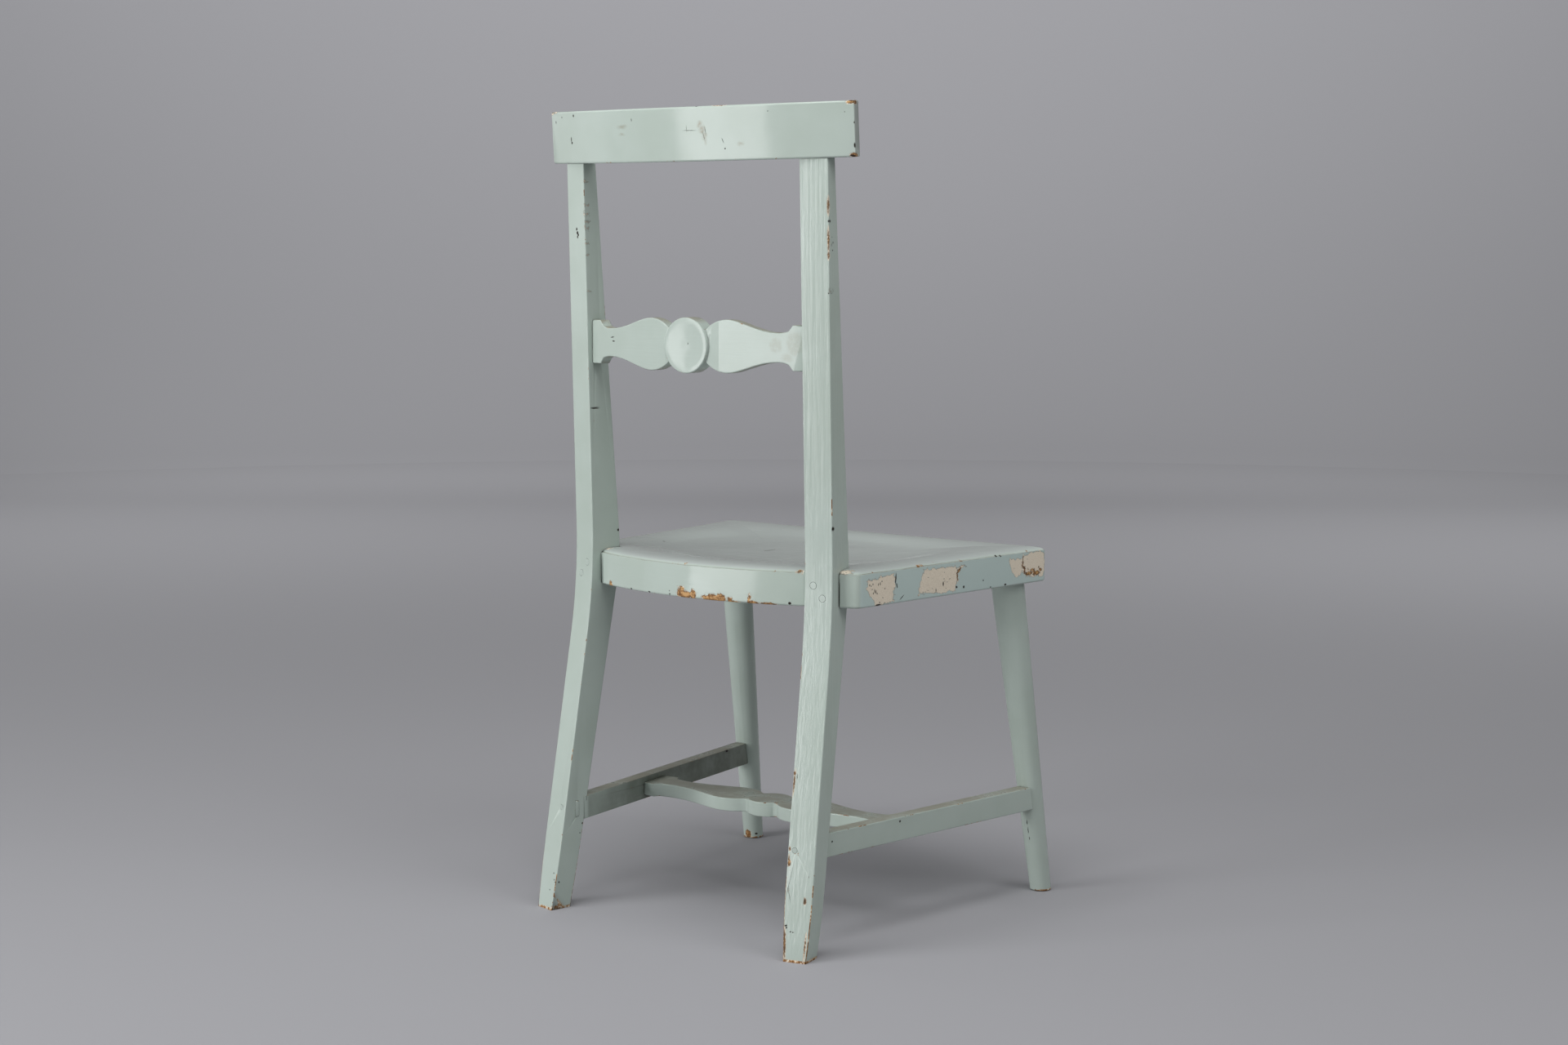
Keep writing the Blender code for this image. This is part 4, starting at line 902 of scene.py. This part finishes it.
class CHAIR_OT_stage(ChairOperator, bpy.types.Operator):
    """Set up the floor, the backdrop, the lamps and the camera."""

    bl_idname = "chair.stage"
    bl_label = "Stage"

    def execute(self, context):
        stage = settings().stage
        paper = matt("studio_paper", tuple(stage.floor))
        radius = stage.radius
        turned_sheet("floor", [(0.0, 0.0), (radius, 0.0)], paper)
        turns = [number * math.pi / (2 * CURVE_STEPS) for number in range(CURVE_STEPS + 1)]
        curve = [(radius + BACKDROP_CURVE * math.sin(turn), BACKDROP_CURVE * (1 - math.cos(turn)))
                 for turn in turns]
        backdrop = turned_sheet("backdrop", curve + [(radius + BACKDROP_CURVE, BACKDROP_HEIGHT)], paper)
        for kind in ("diffuse", "glossy", "shadow", "transmission"):
            setattr(backdrop, "visible_" + kind, False)

        for name, setting, *lamp in LAMPS:
            soft_light(name, *lamp, getattr(stage, setting))
        world = bpy.data.worlds.new("studio")
        world.use_nodes = True
        background = world.node_tree.nodes["Background"]
        background.inputs["Color"].default_value = WHITE
        background.inputs["Strength"].default_value = stage.ambient
        context.scene.world = world

        add_camera(context.scene)
        context.scene.view_settings.view_transform = "Standard"
        return {"FINISHED"}


class CHAIR_PT_sidebar(bpy.types.Panel):
    """The chair's pieces and settings."""

    bl_idname = "CHAIR_PT_sidebar"
    bl_label = "Worn chair"
    bl_space_type = "VIEW_3D"
    bl_region_type = "UI"
    bl_category = "Chair"

    def draw(self, context):
        for operator in OPERATORS:
            self.layout.operator(operator.bl_idname)
        for group in (settings().paint, settings().stage):
            for name in group.__annotations__:
                self.layout.prop(group, name)


OPERATORS = (CHAIR_OT_stage, CHAIR_OT_top_rail, CHAIR_OT_mid_rail, CHAIR_OT_cross_stretcher, CHAIR_OT_seat,
             CHAIR_OT_rear_posts, CHAIR_OT_front_legs, CHAIR_OT_side_stretchers, CHAIR_OT_pegs)
CLASSES = (PaintSettings, StageSettings, ChairSettings) + OPERATORS + (CHAIR_PT_sidebar,)


def register():
    """Register the classes and hang the settings on the scene."""
    for cls in CLASSES:
        bpy.utils.register_class(cls)
    bpy.types.Scene.worn_chair = bpy.props.PointerProperty(
        type=ChairSettings, name="Worn chair", description="Settings of the worn chair")


def unregister():
    """Remove the settings and the classes."""
    del bpy.types.Scene.worn_chair
    for cls in reversed(CLASSES):
        bpy.utils.unregister_class(cls)


def main():
    """Build the whole scene."""
    register()
    for operator in OPERATORS:
        group, name = operator.bl_idname.split(".")
        getattr(getattr(bpy.ops, group), name)()
    bpy.context.view_layer.update()


if __name__ == "__main__":
    main()
